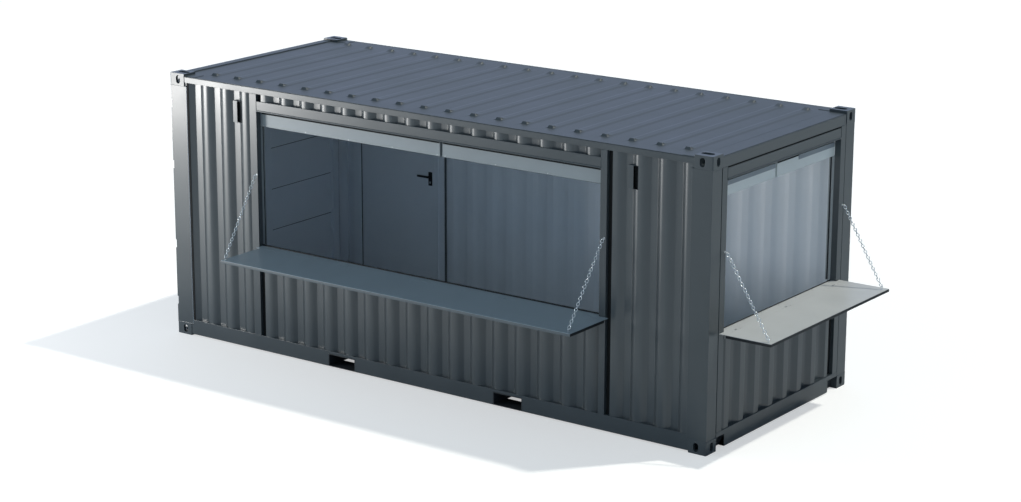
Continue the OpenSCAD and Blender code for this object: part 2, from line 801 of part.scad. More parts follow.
// Lugs and pins on the door-end posts, and the cheeks that take the cams
module cargo_door_lugs() color(paint) from_corner() both_sides() {
    for (z = cargo_hinge_z) {
        for (s = [-1, 1]) translate([0, 0, z + s * (blade_h / 2 + 8)])
            block([9, 8, -6], [48, cargo_pin_y + 15, 6]);
        translate([cargo_pin_x, cargo_pin_y, z])
            cylinder(r = cargo_pin_r, h = blade_h + 30, center = true, $fn = 48);
    }
    for (y = bar_y) for (s = [-1, 1]) for (z = [104, 2510])
        translate([0, y + s * 34, z]) block([12, -5, 0], [48, 5, 46]);
}

// ---------------------------------------------------------------- nodes

bottom_castings();
top_castings();
door_end_posts();
kiosk_end_posts();
bottom_side_rails();
end_bottom_rail();
cargo_door_sill_and_header();
cross_members();
fork_pockets();
floor_boards();
top_side_rails();
end_top_rail();
roof();
front_wall_beside_opening();
front_wall_under_opening();
front_wall_over_opening();
back_wall_beside_door();
back_wall_over_door();
end_wall_under_opening();
wall_seals();
side_frame_posts();
end_frame_posts();
opening_headers();
opening_sills();
sill_strips();
side_shutter_boxes();
end_shutter_boxes();
shutter_guides();
vents();
wall_chain_eyes();
side_counter();
side_counter_eyes();
side_chains();
end_counter();
end_counter_eyes();
end_chains();
personnel_door_frame();
personnel_door();
personnel_door_levers();
front_cargo_leaf();
front_lock_bars();
back_cargo_leaf();
back_lock_bars();
cargo_door_lugs();
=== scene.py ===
"""Container kiosk: finishes, fittings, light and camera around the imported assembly."""
import json
import math

import bpy
import bmesh
import numpy as np
from mathutils import Matrix, Vector

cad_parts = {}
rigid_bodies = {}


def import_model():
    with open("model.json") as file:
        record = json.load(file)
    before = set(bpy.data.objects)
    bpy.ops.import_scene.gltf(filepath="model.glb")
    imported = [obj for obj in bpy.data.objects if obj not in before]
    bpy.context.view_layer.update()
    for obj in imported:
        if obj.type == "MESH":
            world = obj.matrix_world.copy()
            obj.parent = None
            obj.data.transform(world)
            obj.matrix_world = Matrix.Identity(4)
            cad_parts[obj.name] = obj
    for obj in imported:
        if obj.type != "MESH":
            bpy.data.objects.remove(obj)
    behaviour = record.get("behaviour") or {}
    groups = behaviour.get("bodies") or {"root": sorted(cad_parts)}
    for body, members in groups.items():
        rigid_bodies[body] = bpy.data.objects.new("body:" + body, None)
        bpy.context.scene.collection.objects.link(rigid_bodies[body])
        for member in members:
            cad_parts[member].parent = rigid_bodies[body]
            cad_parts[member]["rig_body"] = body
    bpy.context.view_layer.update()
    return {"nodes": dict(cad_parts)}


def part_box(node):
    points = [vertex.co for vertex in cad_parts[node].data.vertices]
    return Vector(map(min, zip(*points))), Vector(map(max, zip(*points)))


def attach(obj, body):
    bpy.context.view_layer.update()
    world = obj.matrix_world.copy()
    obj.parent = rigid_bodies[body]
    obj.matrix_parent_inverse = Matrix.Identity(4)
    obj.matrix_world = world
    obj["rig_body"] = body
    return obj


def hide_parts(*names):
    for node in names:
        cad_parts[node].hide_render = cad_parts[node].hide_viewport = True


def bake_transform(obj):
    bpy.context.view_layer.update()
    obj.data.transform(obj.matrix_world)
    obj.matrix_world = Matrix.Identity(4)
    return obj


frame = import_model()


# ---------------------------------------------------------------------------
# Camera: a long lens, standing off the corner between the two openings and
# looking a little down on the roof.
camera_data = bpy.data.cameras.new("camera")
camera_data.lens = 88.14
camera_data.sensor_width = 36.0
camera_data.clip_end = 200.0
camera = bpy.data.objects.new("camera", camera_data)
bpy.context.scene.collection.objects.link(camera)
look_az, look_el, roll = (math.radians(a) for a in (125.869, -15.105, -0.188))
look = Vector((math.cos(look_el) * math.cos(look_az),
               math.cos(look_el) * math.sin(look_az), math.sin(look_el)))
turn = look.to_track_quat("-Z", "Y").to_matrix() @ Matrix.Rotation(-roll, 3, "Z")
camera.matrix_world = Matrix.Translation((13.360, -18.329, 7.168)) @ turn.to_4x4()
bpy.context.scene.camera = camera


# ---------------------------------------------------------------------------
# Floor and light: a white studio floor that keeps a pale shadow, a dim bluish
# surrounding, one soft high lamp behind the kiosk and a soft box to the left.
def linear(code):
    """sRGB hex to linear: c/12.92 below 0.04045, else ((c+0.055)/1.055)^2.4."""
    srgb = np.array([int(code[i:i + 2], 16) for i in (1, 3, 5)]) / 255.0
    rgb = np.where(srgb <= 0.04045, srgb / 12.92, ((srgb + 0.055) / 1.055) ** 2.4)
    return (*(float(c) for c in rgb), 1.0)


def set_node(tree, node, settings=None, links=None):
    """Sets a node's fields and sockets, and links its sockets to other nodes."""
    for key, value in (settings or {}).items():
        if isinstance(key, str) and hasattr(node, key):
            setattr(node, key, value)
        else:
            node.inputs[key].default_value = value
    for key, source in (links or {}).items():
        tree.links.new(source, node.inputs[key])
    return node


def add_node(tree, kind, settings=None, links=None):
    """Adds one node with its settings and links."""
    return set_node(tree, tree.nodes.new(kind), settings, links)


world = bpy.data.worlds.new("studio")
bpy.context.scene.world = world
world.use_nodes = True
tree = world.node_tree
tree.nodes.clear()
direction = add_node(tree, "ShaderNodeTexCoord").outputs["Generated"]
height = add_node(tree, "ShaderNodeSeparateXYZ", links={0: direction}).outputs["Z"]
sky = add_node(tree, "ShaderNodeValToRGB", links={0: height})
sky.color_ramp.elements[0].color = (0.08, 0.16, 0.27, 1.0)
sky.color_ramp.elements[1].position = 0.9
sky.color_ramp.elements[1].color = (0.16, 0.23, 0.26, 1.0)
lit = add_node(tree, "ShaderNodeBackground", {"Strength": 1.0}, {"Color": sky.outputs[0]})
for aim, power, colour in (((-0.68, 0.68, 0.26), 6.0, (0.50, 0.54, 0.76)),
                           ((0.0, -1.0, 0.0), 1.0, (0.41, 0.47, 0.52)),
                           ((1.0, 0.0, 0.0), 1.0, (0.10, 0.09, 0.10))):
    along = add_node(tree, "ShaderNodeVectorMath", {"operation": "DOT_PRODUCT", 1: aim},
                     {0: direction}).outputs["Value"]
    ahead = add_node(tree, "ShaderNodeMath", {"operation": "MAXIMUM", 1: 0.0}, {0: along})
    share = add_node(tree, "ShaderNodeMath", {"operation": "POWER", 1: power},
                     {0: ahead.outputs[0]})
    side_light = add_node(tree, "ShaderNodeBackground", {"Color": (*colour, 1.0)},
                          {"Strength": share.outputs[0]})
    lit = add_node(tree, "ShaderNodeAddShader",
                   links={0: lit.outputs[0], 1: side_light.outputs[0]})
ray = add_node(tree, "ShaderNodeLightPath").outputs["Is Camera Ray"]
seen = add_node(tree, "ShaderNodeBackground", {"Color": (1, 1, 1, 1), "Strength": 1.0})
both = add_node(tree, "ShaderNodeMixShader", links={0: ray, 1: lit.outputs[0], 2: seen.outputs[0]})
add_node(tree, "ShaderNodeOutputWorld", links={"Surface": both.outputs[0]})


def lamp(name, kind, energy, colour, aim, place=(0, 0, 0), **fields):
    """A lamp at a place, turned so that it shines along aim."""
    data = bpy.data.lights.new(name, kind)
    data.energy = energy
    data.color = colour
    for key, value in fields.items():
        setattr(data, key, value)
    thing = bpy.data.objects.new(name, data)
    thing.location = place
    thing.rotation_euler = Vector(aim).to_track_quat("-Z", "Y").to_euler()
    bpy.context.scene.collection.objects.link(thing)


lamp("high_lamp", "SUN", 2.1, (1.0, 0.99, 0.90), (-0.97, -1.20, -2.59), angle=math.radians(2.0))
lamp("soft_box", "AREA", 420.0, (1.0, 0.99, 0.97), (5.1, 5.4, 0.2), (-7.6, -6.3, 1.75),
     shape="RECTANGLE", size=2.0, size_y=1.6)

floor_mat = bpy.data.materials.new("white_studio_floor")
floor_mat.use_nodes = True
tree = floor_mat.node_tree
tree.nodes.clear()
ray = add_node(tree, "ShaderNodeLightPath").outputs["Is Camera Ray"]
paper = add_node(tree, "ShaderNodeBsdfDiffuse", {"Color": linear("#f6f5f4")})
glow = add_node(tree, "ShaderNodeEmission", {"Color": (1, 1, 1, 1), "Strength": 1.5})
pale = add_node(tree, "ShaderNodeMixShader", {0: 0.32}, {1: paper.outputs[0], 2: glow.outputs[0]})
dim = add_node(tree, "ShaderNodeBsdfDiffuse", {"Color": linear("#d5d8db")})
near = add_node(tree, "ShaderNodeMixShader", links={0: ray, 1: dim.outputs[0], 2: pale.outputs[0]})
add_node(tree, "ShaderNodeOutputMaterial", links={"Surface": near.outputs[0]})
ground_mesh = bpy.data.meshes.new("studio_floor")
reach = 60.0
ground_mesh.from_pydata([(-reach, -reach, 0), (reach, -reach, 0), (reach, reach, 0),
                         (-reach, reach, 0)], [], [(0, 1, 2, 3)])
ground = bpy.data.objects.new("studio_floor", ground_mesh)
ground_mesh.materials.append(floor_mat)
bpy.context.scene.collection.objects.link(ground)


# ---------------------------------------------------------------------------
# Castings: hollow cast-steel corners with slots, a little rough from the mould,
# welded to posts and rails and sprayed with the same anthracite paint.
def new_material(name):
    """A new material, its tree, its shader and the object's own coordinates."""
    mat = bpy.data.materials.new(name)
    mat.use_nodes = True
    tree = mat.node_tree
    place = add_node(tree, "ShaderNodeTexCoord").outputs["Object"]
    return mat, tree, tree.nodes["Principled BSDF"], place


def painted_steel(name, code, roughness, grain=1.0, unevenness=0.07, streaks=0.0, ior=1.6):
    """Two-pack paint sprayed on steel: an orange peel of about 3 mm, a slow
    unevenness of tone and gloss, and faint streaks that run down the sheet."""
    mat, tree, shader, place = new_material(name)
    cloud = add_node(tree, "ShaderNodeTexNoise",
                     {"Scale": 1.7, "Detail": 5.0, "Roughness": 0.6}, {"Vector": place})
    stretched = add_node(tree, "ShaderNodeMapping", {"Scale": (24.0, 24.0, 0.9)},
                         {"Vector": place})
    streak = add_node(tree, "ShaderNodeTexNoise",
                      {"Scale": 1.0, "Detail": 3.0}, {"Vector": stretched.outputs[0]})
    peel = add_node(tree, "ShaderNodeTexNoise", {"Scale": 330.0, "Detail": 1.0}, {"Vector": place})
    tone = add_node(tree, "ShaderNodeMapRange",
                    {"From Min": 0.3, "From Max": 0.7,
                     "To Min": 1.0 - unevenness, "To Max": 1.0 + unevenness},
                    {"Value": cloud.outputs["Fac"]})
    runs = add_node(tree, "ShaderNodeMapRange",
                    {"From Min": 0.35, "From Max": 0.7,
                     "To Min": 1.0 - streaks, "To Max": 1.0 + streaks},
                    {"Value": streak.outputs["Fac"]})
    both = add_node(tree, "ShaderNodeMath", {"operation": "MULTIPLY"},
                    {0: tone.outputs[0], 1: runs.outputs[0]})
    colour = add_node(tree, "ShaderNodeMix", {"data_type": "RGBA", "blend_type": "MULTIPLY",
                                              0: 1.0, 6: linear(code)}, {7: both.outputs[0]})
    rough = add_node(tree, "ShaderNodeMapRange",
                     {"From Min": 0.3, "From Max": 0.7,
                      "To Min": roughness - 0.03, "To Max": roughness + 0.04},
                     {"Value": cloud.outputs["Fac"]})
    bump = add_node(tree, "ShaderNodeBump", {"Strength": 0.05 * grain, "Distance": 0.0006},
                    {"Height": peel.outputs["Fac"]})
    set_node(tree, shader, {"IOR": ior}, {"Base Color": colour.outputs[2],
                                          "Roughness": rough.outputs[0],
                                          "Normal": bump.outputs[0]})
    return mat


def show(name, mesh, materials, body):
    """Links a mesh as a piece that rides on a body, or on none."""
    piece = bpy.data.objects.new(name, mesh)
    bpy.context.scene.collection.objects.link(piece)
    for material in materials:
        mesh.materials.append(material)
    if body is not None:
        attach(piece, body)
    return piece


def corners(node):
    """The low and high corners of a CAD node's box, as arrays."""
    return [np.array(corner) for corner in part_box(node)]


def softened(node, width, material, segments=2):
    """A copy of a CAD node's mesh with its doubles merged, its flat faces joined
    and its edges rounded by a bevel of the given width; it replaces the node."""
    source = frame["nodes"][node]
    mesh = bpy.data.meshes.new("soft_" + node)
    shell = bmesh.new()
    shell.from_mesh(source.data)
    bmesh.ops.remove_doubles(shell, verts=shell.verts, dist=0.00002)
    bmesh.ops.dissolve_limit(shell, angle_limit=math.radians(0.6),
                             verts=shell.verts, edges=shell.edges)
    shell.to_mesh(mesh)
    shell.free()
    mesh.shade_smooth()
    piece = show("soft_" + node, mesh, [material], source["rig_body"])
    bevel = piece.modifiers.new("edge", "BEVEL")
    bevel.width = width
    bevel.segments = segments
    bevel.limit_method = "ANGLE"
    bevel.angle_limit = math.radians(32)
    flat = piece.modifiers.new("flat", "WEIGHTED_NORMAL")
    flat.weight = 100
    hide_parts(node)
    return piece


anthracite = painted_steel("anthracite_paint", "#373e42", 0.32)
cast_paint = painted_steel("anthracite_on_castings", "#373e42", 0.34, grain=2.0)
low, high = (Vector(corner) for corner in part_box("bottom_castings"))
roof_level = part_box("top_castings")[1][2]
cast_length, cast_width, cast_height = 0.178, 0.162, 0.118
for node in ("bottom_castings", "top_castings"):
    softened(node, 0.006, cast_paint, segments=3)


# ---------------------------------------------------------------------------
# Corner posts: rolled and pressed steel, sprayed anthracite, and the weld beads
# that hold posts and rails to the castings.
def sweep(profile, path, up, loop=False, swell=None):
    """A closed profile (across, up) carried along a path that lies square to up.
    At a corner the section stands in the plane that halves the turn, widened by
    one over the cosine of half the turn; swell scales the section at each point."""
    path, profile, up = (np.array(a, float) for a in (path, profile, up))
    step = (np.roll(path, -1, 0) if loop else path[1:]) - (path if loop else path[:-1])
    run = step / np.linalg.norm(step, axis=1)[:, None]
    before = np.roll(run, 1, 0) if loop else np.vstack([run[:1], run])
    after = run if loop else np.vstack([run, run[-1:]])
    ahead = before + after
    ahead /= np.linalg.norm(ahead, axis=1)[:, None]
    across = np.cross(ahead, up) / (ahead * after).sum(1)[:, None]
    size = np.ones(len(path)) if swell is None else np.asarray(swell)
    points = (path[:, None, :]
              + size[:, None, None] * (profile[None, :, :1] * across[:, None, :]
                                       + profile[None, :, 1:] * up))
    count, width = len(path), len(profile)
    a, b = np.meshgrid(np.arange(count if loop else count - 1), np.arange(width), indexing="ij")
    nxt, side = (a + 1) % count, (b + 1) % width
    quads = np.stack([a * width + b, a * width + side, nxt * width + side, nxt * width + b], -1)
    faces = [list(map(int, quad)) for quad in quads.reshape(-1, 4)]
    if not loop:
        faces += [list(range(width))[::-1], list(range((count - 1) * width, count * width))]
    return points.reshape(-1, 3), faces


def join(parts):
    """One list of points and one of faces from several swept parts."""
    points, faces, start = [], [], 0
    for part_points, part_faces in parts:
        points.append(part_points)
        faces += [[start + i for i in face] for face in part_faces]
        start += len(part_points)
    return np.vstack(points), faces


def smooth_mesh(name, parts, indices=None):
    """A smooth mesh from swept parts, with its faces turned outwards."""
    points, faces = join(parts)
    mesh = bpy.data.meshes.new(name)
    mesh.from_pydata(points.tolist(), [], faces)
    if indices is not None:
        mesh.polygons.foreach_set("material_index", indices)
    shell = bmesh.new()
    shell.from_mesh(mesh)
    bmesh.ops.recalc_face_normals(shell, faces=shell.faces)
    shell.to_mesh(mesh)
    shell.free()
    mesh.shade_smooth()
    return mesh


def piece_from(name, parts, materials, body, smooth_below=35.0, indices=None):
    """A piece from swept parts, whose edges stay sharp where they fold by more
    than smooth_below degrees."""
    mesh = smooth_mesh(name, parts, indices)
    mesh.set_sharp_from_angle(angle=math.radians(smooth_below))
    return show(name, mesh, materials, body)


def arc_profile(radius_x, radius_y, count=8):
    """Points of an ellipse, used as the section of beads, rods and links."""
    angles = np.arange(count) * 2 * math.pi / count
    return np.stack([radius_x * np.cos(angles), radius_y * np.sin(angles)], -1)


def weld(name, runs, up, radius=0.004, pitch=0.012):
    """Weld beads along straight runs: a round bead with a ripple at each pitch."""
    parts = []
    for start, end in runs:
        start, end = np.array(start, float), np.array(end, float)
        count = max(3, int(np.linalg.norm(end - start) / pitch))
        share = np.linspace(0.0, 1.0, count)[:, None]
        ripple = 1.0 + 0.14 * (np.arange(count) % 2)
        parts.append(sweep(arc_profile(radius, radius, 6), start + share * (end - start),
                           up, swell=ripple))
    return piece_from(name, parts, [anthracite], "root", 60.0)


def slab(x, y, z, edge=0.0):
    """A box between pairs of x, y and z, its section's corners cut by edge."""
    section = [(y[0] + edge, z[0]), (y[1] - edge, z[0]), (y[1], z[0] + edge), (y[1], z[1] - edge),
               (y[1] - edge, z[1]), (y[0] + edge, z[1]), (y[0], z[1] - edge), (y[0], z[0] + edge)]
    if edge == 0.0:
        section = [section[i] for i in (0, 1, 4, 5)]
    section = [(-across, up) for across, up in section]
    return sweep(section, [(x[0], 0, 0), (x[1], 0, 0)], (0, 0, 1))


def repaint(mesh, paint, chosen):
    """Gives the faces for which chosen is true a second paint."""
    mesh.materials.append(paint)
    mesh.polygons.foreach_set("material_index",
                              np.array([chosen(face) for face in mesh.polygons]).astype(int))


pale_inside = painted_steel("pale_inner_paint", "#d9e2ea", 0.5, unevenness=0.03)
post_inner, post_cut, post_skin = 0.203, 0.090, 0.085
for node in ("door_end_posts", "kiosk_end_posts"):
    posts = softened(node, 0.005, anthracite, segments=3).data
    shell = bmesh.new()
    shell.from_mesh(posts)
    for x in (low.x + post_cut, high.x - post_cut):
        bmesh.ops.bisect_plane(shell, geom=shell.verts[:] + shell.edges[:] + shell.faces[:],
                               plane_co=(x, 0, 0), plane_no=(1, 0, 0))
    shell.to_mesh(posts)
    shell.free()
    repaint(posts, pale_inside, lambda face: face.center.x * face.normal.x < -0.3 or (
        face.center.y * face.normal.y < -0.3 and abs(face.center.x) < high.x - post_skin))

# Plates of 4 mm that fill the gap above the posts beside the top castings
plate_z = (roof_level - cast_height - 0.003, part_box("top_side_rails")[0][2] + 0.003)
plates = [slab((x, x + 0.031), (y, y + 0.004), plate_z, 0.001)
          for x in (low.x + 0.175, high.x - 0.206) for y in (low.y + 0.012, high.y - 0.016)]
piece_from("post_filler_plates", plates, [anthracite], "root")

weld_z = (cast_height, roof_level - cast_height)
post_reach_door_end, post_reach_kiosk_end = 0.062, 0.158
post_spans = ((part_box("door_end_posts")[0][0], low.x + post_inner),
              (high.x - post_inner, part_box("kiosk_end_posts")[1][0]))
weld("post_weld_beads_sides", [((x0, y, z), (x1, y, z)) for y in (low.y + 0.0045, high.y - 0.0045)
                               for x0, x1 in post_spans for z in weld_z], (0, 0, 1))
weld("post_weld_beads_ends",
     [((x, y0, z), (x, y1, z))
      for x, reach in ((low.x + 0.0035, post_reach_door_end),
                       (high.x - 0.0045, post_reach_kiosk_end))
      for y0, y1 in ((low.y + 0.012, low.y + reach), (high.y - reach, high.y - 0.012))
      for z in weld_z], (0, 0, 1))


# ---------------------------------------------------------------------------
# Bottom frame: folded channels along the sides and the kiosk end, fork pockets
# and floor channels in the same paint, dulled underneath and darkened there as
# painted shade.
# Darker copy of the anthracite for parts underneath: painted shade
shaded_underside_paint = painted_steel("anthracite_in_painted_shade", "#24292d", 0.5, grain=2.0)
for node in ("bottom_side_rails", "end_bottom_rail", "cargo_door_sill_and_header"):
    softened(node, 0.004, anthracite)
for node in ("cross_members", "fork_pockets"):
    softened(node, 0.002, shaded_underside_paint)

rail_low, rail_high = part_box("bottom_side_rails")
weld("rail_weld_beads", [((x, y, rail_low[2]), (x, y, cast_height))
                         for y in (rail_low[1] - 0.0005, rail_high[1] + 0.0005)
                         for x in (low.x + cast_length, high.x - cast_length)], (0, 1, 0))
# Plates behind the notches of the end rail, and caps on the rail's cut ends, in
# the darker paint: painted shade in the notches
notch_z = (0.009, 0.120)
gussets = [slab((high.x - 0.066, high.x - 0.060), span, notch_z, 0.001)
           for span in ((low.y + 0.161, low.y + 0.303), (high.y - 0.335, high.y - 0.161))]
gussets += [slab((high.x - 0.112, high.x - 0.004), (y, y + 0.004), notch_z, 0.001)
            for y in (low.y + 0.301, high.y - 0.337)]
piece_from("end_rail_gussets", gussets, [shaded_underside_paint], "root")


# ---------------------------------------------------------------------------
# Floor: varnished plywood panels about 1.2 m long laid over the channels, cut
# round the corner posts, with open seams of 3 mm.
def plywood(name, code, dark_code):
    """Varnished plywood: a face veneer whose grain runs along the container,
    about 6 mm apart, under a worn satin varnish."""
    mat, tree, shader, place = new_material(name)
    along = add_node(tree, "ShaderNodeMapping", {"Scale": (2.2, 55.0, 55.0)}, {"Vector": place})
    grain = add_node(tree, "ShaderNodeTexNoise",
                     {"Scale": 3.0, "Detail": 6.0, "Distortion": 0.6},
                     {"Vector": along.outputs[0]})
    fac = grain.outputs["Fac"]
    colour = add_node(tree, "ShaderNodeMix",
                      {"data_type": "RGBA", 6: linear(dark_code), 7: linear(code)}, {0: fac})
    rough = add_node(tree, "ShaderNodeMapRange", {"To Min": 0.35, "To Max": 0.62}, {"Value": fac})
    bump = add_node(tree, "ShaderNodeBump", {"Strength": 0.25, "Distance": 0.0008},
                    {"Height": fac})
    set_node(tree, shader, None, {"Base Color": colour.outputs[2], "Roughness": rough.outputs[0],
                                  "Normal": bump.outputs[0]})
    return mat


def between_posts(span, reach):
    """A span of y cut short where the posts reach in from both sides."""
    return [max(span[0], low.y + reach + seam), min(span[1], high.y - reach - seam)]


floor_low, floor_high = corners("floor_boards")
floor_z = (floor_low[2], floor_high[2])
seam = 0.0015
edges_x = np.linspace(floor_low[0], floor_high[0], 6)
edges_y = np.linspace(floor_low[1], floor_high[1], 3)
panels = []
for i in range(5):
    for j in range(2):
        x_span = [edges_x[i] + seam, edges_x[i + 1] - seam]
        y_span = [edges_y[j] + seam, edges_y[j + 1] - seam]
        if i == 4:
            inner = high.x - post_inner - seam
            panels.append(slab((x_span[0], inner), y_span, floor_z, 0.001))
            y_span = between_posts(y_span, post_reach_kiosk_end)
            x_span[0] = inner
        if i == 0:
            inner = low.x + post_inner + seam
            panels.append(slab((x_span[0], inner), between_posts(y_span, post_reach_door_end),
                               floor_z, 0.001))
            x_span[0] = inner
        panels.append(slab(x_span, y_span, floor_z, 0.001))
boards = piece_from("floor_panels", panels, [plywood("varnished_plywood", "#7b6348", "#4b3a29")],
                    "root")
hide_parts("floor_boards")


# ---------------------------------------------------------------------------
# Top rails and roof: square tubes, a raised strip over the cargo doors, gusset
# plates by the castings, and one sheet with twenty pressed ribs across it.
for node in ("top_side_rails", "end_top_rail"):
    softened(node, 0.004, anthracite)


def ramp(value, start, end):
    """A smooth step from 0 at start to 1 at end: 3s^2 - 2s^3."""
    share = np.clip((value - start) / (end - start), 0.0, 1.0)
    return share * share * (3.0 - 2.0 * share)


def shell_faces(nx, ny, inside=None):
    """Faces of a sheet whose outer points are a grid of nx by ny and whose inner
    points follow in the same order: outer cells, a closed rim and inner cells,
    without the cells marked inside. Outer and rim faces take the first
    material and inner faces the second."""
    i, j = np.meshgrid(np.arange(nx - 1), np.arange(ny - 1), indexing="ij")
    cell = (i * ny + j).ravel()
    if inside is not None:
        cell = cell[~inside.ravel()]
    outer = np.stack([cell, cell + ny, cell + ny + 1, cell + 1], -1)
    inner = outer[:, ::-1] + nx * ny
    rim = np.concatenate([np.arange(nx) * ny, (nx - 1) * ny + np.arange(1, ny),
                          np.arange(nx - 2, -1, -1) * ny + ny - 1, np.arange(ny - 2, 0, -1)])
    after = np.roll(rim, -1)
    edge = np.stack([rim, rim + nx * ny, after + nx * ny, after], -1)
    kinds = np.repeat([0, 0, 1], [len(outer), len(edge), len(inner)])
    return np.concatenate([outer, edge, inner]).tolist(), kinds


roof_low, roof_high = corners("roof")
half_width, roof_half = high.y, roof_high[1]
plate_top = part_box("top_side_rails")[1][2] + 0.004
rib_count, rib_pitch = 20, 0.2793
rib_top, rib_foot, rib_rise, rib_end_rise = 0.050, 0.136, 0.006, 0.017
rib_end, rib_slope, rib_fade = 0.200, 0.020, 0.070
middles = (np.arange(rib_count) - (rib_count - 1) / 2) * rib_pitch
turns = np.concatenate([[-rib_foot / 2 - 0.002], np.linspace(-rib_foot / 2, -rib_top / 2, 7)])
knob = np.array([0.020, 0.026, 0.031, 0.037])
across = np.concatenate([turns, -turns[::-1], -knob, knob])
x_lines = np.unique(np.concatenate([[roof_low[0] + cast_length - 0.012],
                                    (middles[:, None] + across).ravel(),
                                    [roof_high[0] - cast_length + 0.012]]))
from_end = np.array([0.0, 0.004, 0.010, 0.015, 0.020, 0.035, 0.052, 0.070, 0.090])
near_ends = -half_width + rib_end + from_end
y_lines = np.concatenate([[-roof_half, -roof_half + 0.1], near_ends, np.linspace(-0.90, 0.90, 9),
                          -near_ends[::-1], [roof_half - 0.1, roof_half]])
gx, gy = np.meshgrid(x_lines, y_lines, indexing="ij")
nearest = np.abs(gx[..., None] - middles).min(-1)
rib_shape = 1.0 - ramp(nearest, rib_top / 2, rib_foot / 2)
slope_start = half_width - rib_end - rib_slope
end_shape = 1.0 - ramp(np.abs(gy), slope_start, half_width - rib_end)
buckle = 0.0015 * np.cos(gx * 4.1) * np.cos(gy * 1.3)
knob_shape = (1.0 - ramp(nearest, knob[0], knob[-1])) \
    * ramp(np.abs(gy), slope_start - rib_fade, slope_start)
crest = rib_rise * rib_shape + rib_end_rise * knob_shape
top = plate_top + crest * end_shape + buckle * (1 - ramp(np.abs(gy), 0.9, 1.15))
faces, kinds = shell_faces(len(x_lines), len(y_lines))
plate = np.concatenate([np.stack([gx, gy, z], -1).reshape(-1, 3) for z in (top, top - 0.003)])
# The anthracite made slightly lighter and bluer: painted light from the sky on the roof
lit_roof_paint = painted_steel("anthracite_on_roof_with_painted_light", "#383f45", 0.46, unevenness=0.10)
between = (-half_width + cast_width, half_width - cast_width)
strip_width, strip_rise, gusset_length, gusset_width = 0.088, 0.010, 0.120, 0.134
parts = [(plate, faces)]
for x_span in ((roof_low[0], x_lines[0] + 0.001), (x_lines[-1] - 0.001, roof_high[0])):
    parts.append(slab(x_span, between, (plate_top - 0.004, plate_top)))
parts.append(slab((roof_low[0], roof_low[0] + strip_width), between,
                  (plate_top, plate_top + strip_rise), 0.003))
parts += [slab((x, x + gusset_length), (y, y + gusset_width),
               (plate_top - 0.001, plate_top + 0.004), 0.002)
          for x in (low.x + cast_length, high.x - cast_length - gusset_length)
          for y in (-1.203, 1.069)]
indices = list(kinds) + [0] * sum(len(part_faces) for _, part_faces in parts[1:])
roof_piece = piece_from("roof_sheet", parts, [lit_roof_paint, pale_inside], "root",
                        24.0, indices)
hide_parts("roof")
strip_edge = roof_low[0] + strip_width + 0.0005
seams = [tuple((strip_edge, y, plate_top + 0.001) for y in between)]
seams += [((low.x + cast_length, y, plate_top - 0.001),
           (high.x - cast_length, y, plate_top - 0.001)) for y in (-roof_half, roof_half)]
weld("roof_weld_beads", seams, (0, 0, 1), radius=0.003, pitch=0.03)


# ---------------------------------------------------------------------------
# Corrugated walls: 2 mm weathering steel pressed into waves, anthracite outside
# and pale inside. On the long sides the outer bends are round and the inner ones
# tight, at the end the other way round, and the back is shallower on its inside.
wave_pitch, wave_flat, wave_depth = 0.2453, 0.072, 0.036
wave_slope = wave_pitch / 2 - wave_flat
wave_start = -11.5 * wave_pitch - wave_flat / 2 - 0.016
wave_set_back, wall_sheet = 0.012, 0.002
sheet_paint = painted_steel("anthracite_on_sheets", "#343b3f", 0.32, unevenness=0.06,
                            streaks=0.04, ior=1.72)


def bent_line(knots, radii, steps=6):
    """An open polyline whose inner corners are rounded by parabolas, each
    touching both sides at radius * tan(half the turn) from the corner."""
    knots = np.array(knots, float)
    line = [knots[0]]
    for before, corner, after, radius in zip(knots, knots[1:], knots[2:], radii):
        into, out = corner - before, after - corner
        a, b = into / np.linalg.norm(into), out / np.linalg.norm(out)
        turn = math.acos(float(np.clip(a @ b, -1, 1)))
        if turn < 1e-4:
            continue
        reach = min(radius * math.tan(turn / 2), 0.49 * np.linalg.norm(into),
                    0.49 * np.linalg.norm(out))
        share = np.linspace(0.0, 1.0, steps)[:, None]
        start, end = corner - a * reach, corner + b * reach
        line += list((1 - share) ** 2 * start + 2 * share * (1 - share) * corner
                     + share ** 2 * end)
    line.append(knots[-1])
    return np.array(line)


def wave_line(first, last, start, pitch, flat, slope, depth, radii):
    """A wave from first to last: outer flat, slope in, inner flat, slope out;
    the bends at the outer flats take the first radius, the others the second."""
    knots, depths = [first], [None]
    k = math.floor((first - start) / pitch)
    while start + k * pitch < last:
        for offset, level in ((0, 0), (flat, 0), (flat + slope, depth), (pitch - slope, depth)):
            at = start + k * pitch + offset
            if first + 0.001 < at < last - 0.001:
                knots.append(at)
                depths.append(level)
        k += 1
    place = [(x - start) % pitch for x in (first, last)]
    ends = [float(np.interp(p, [0, flat, flat + slope, pitch - slope, pitch],
                            [0, 0, depth, depth, 0])) for p in place]
    knots.append(last)
    depths[0] = ends[0]
    depths.append(ends[1])
    return bent_line(np.stack([knots, depths], -1),
                     [radii[0] if level == 0 else radii[1] for level in depths[1:-1]])


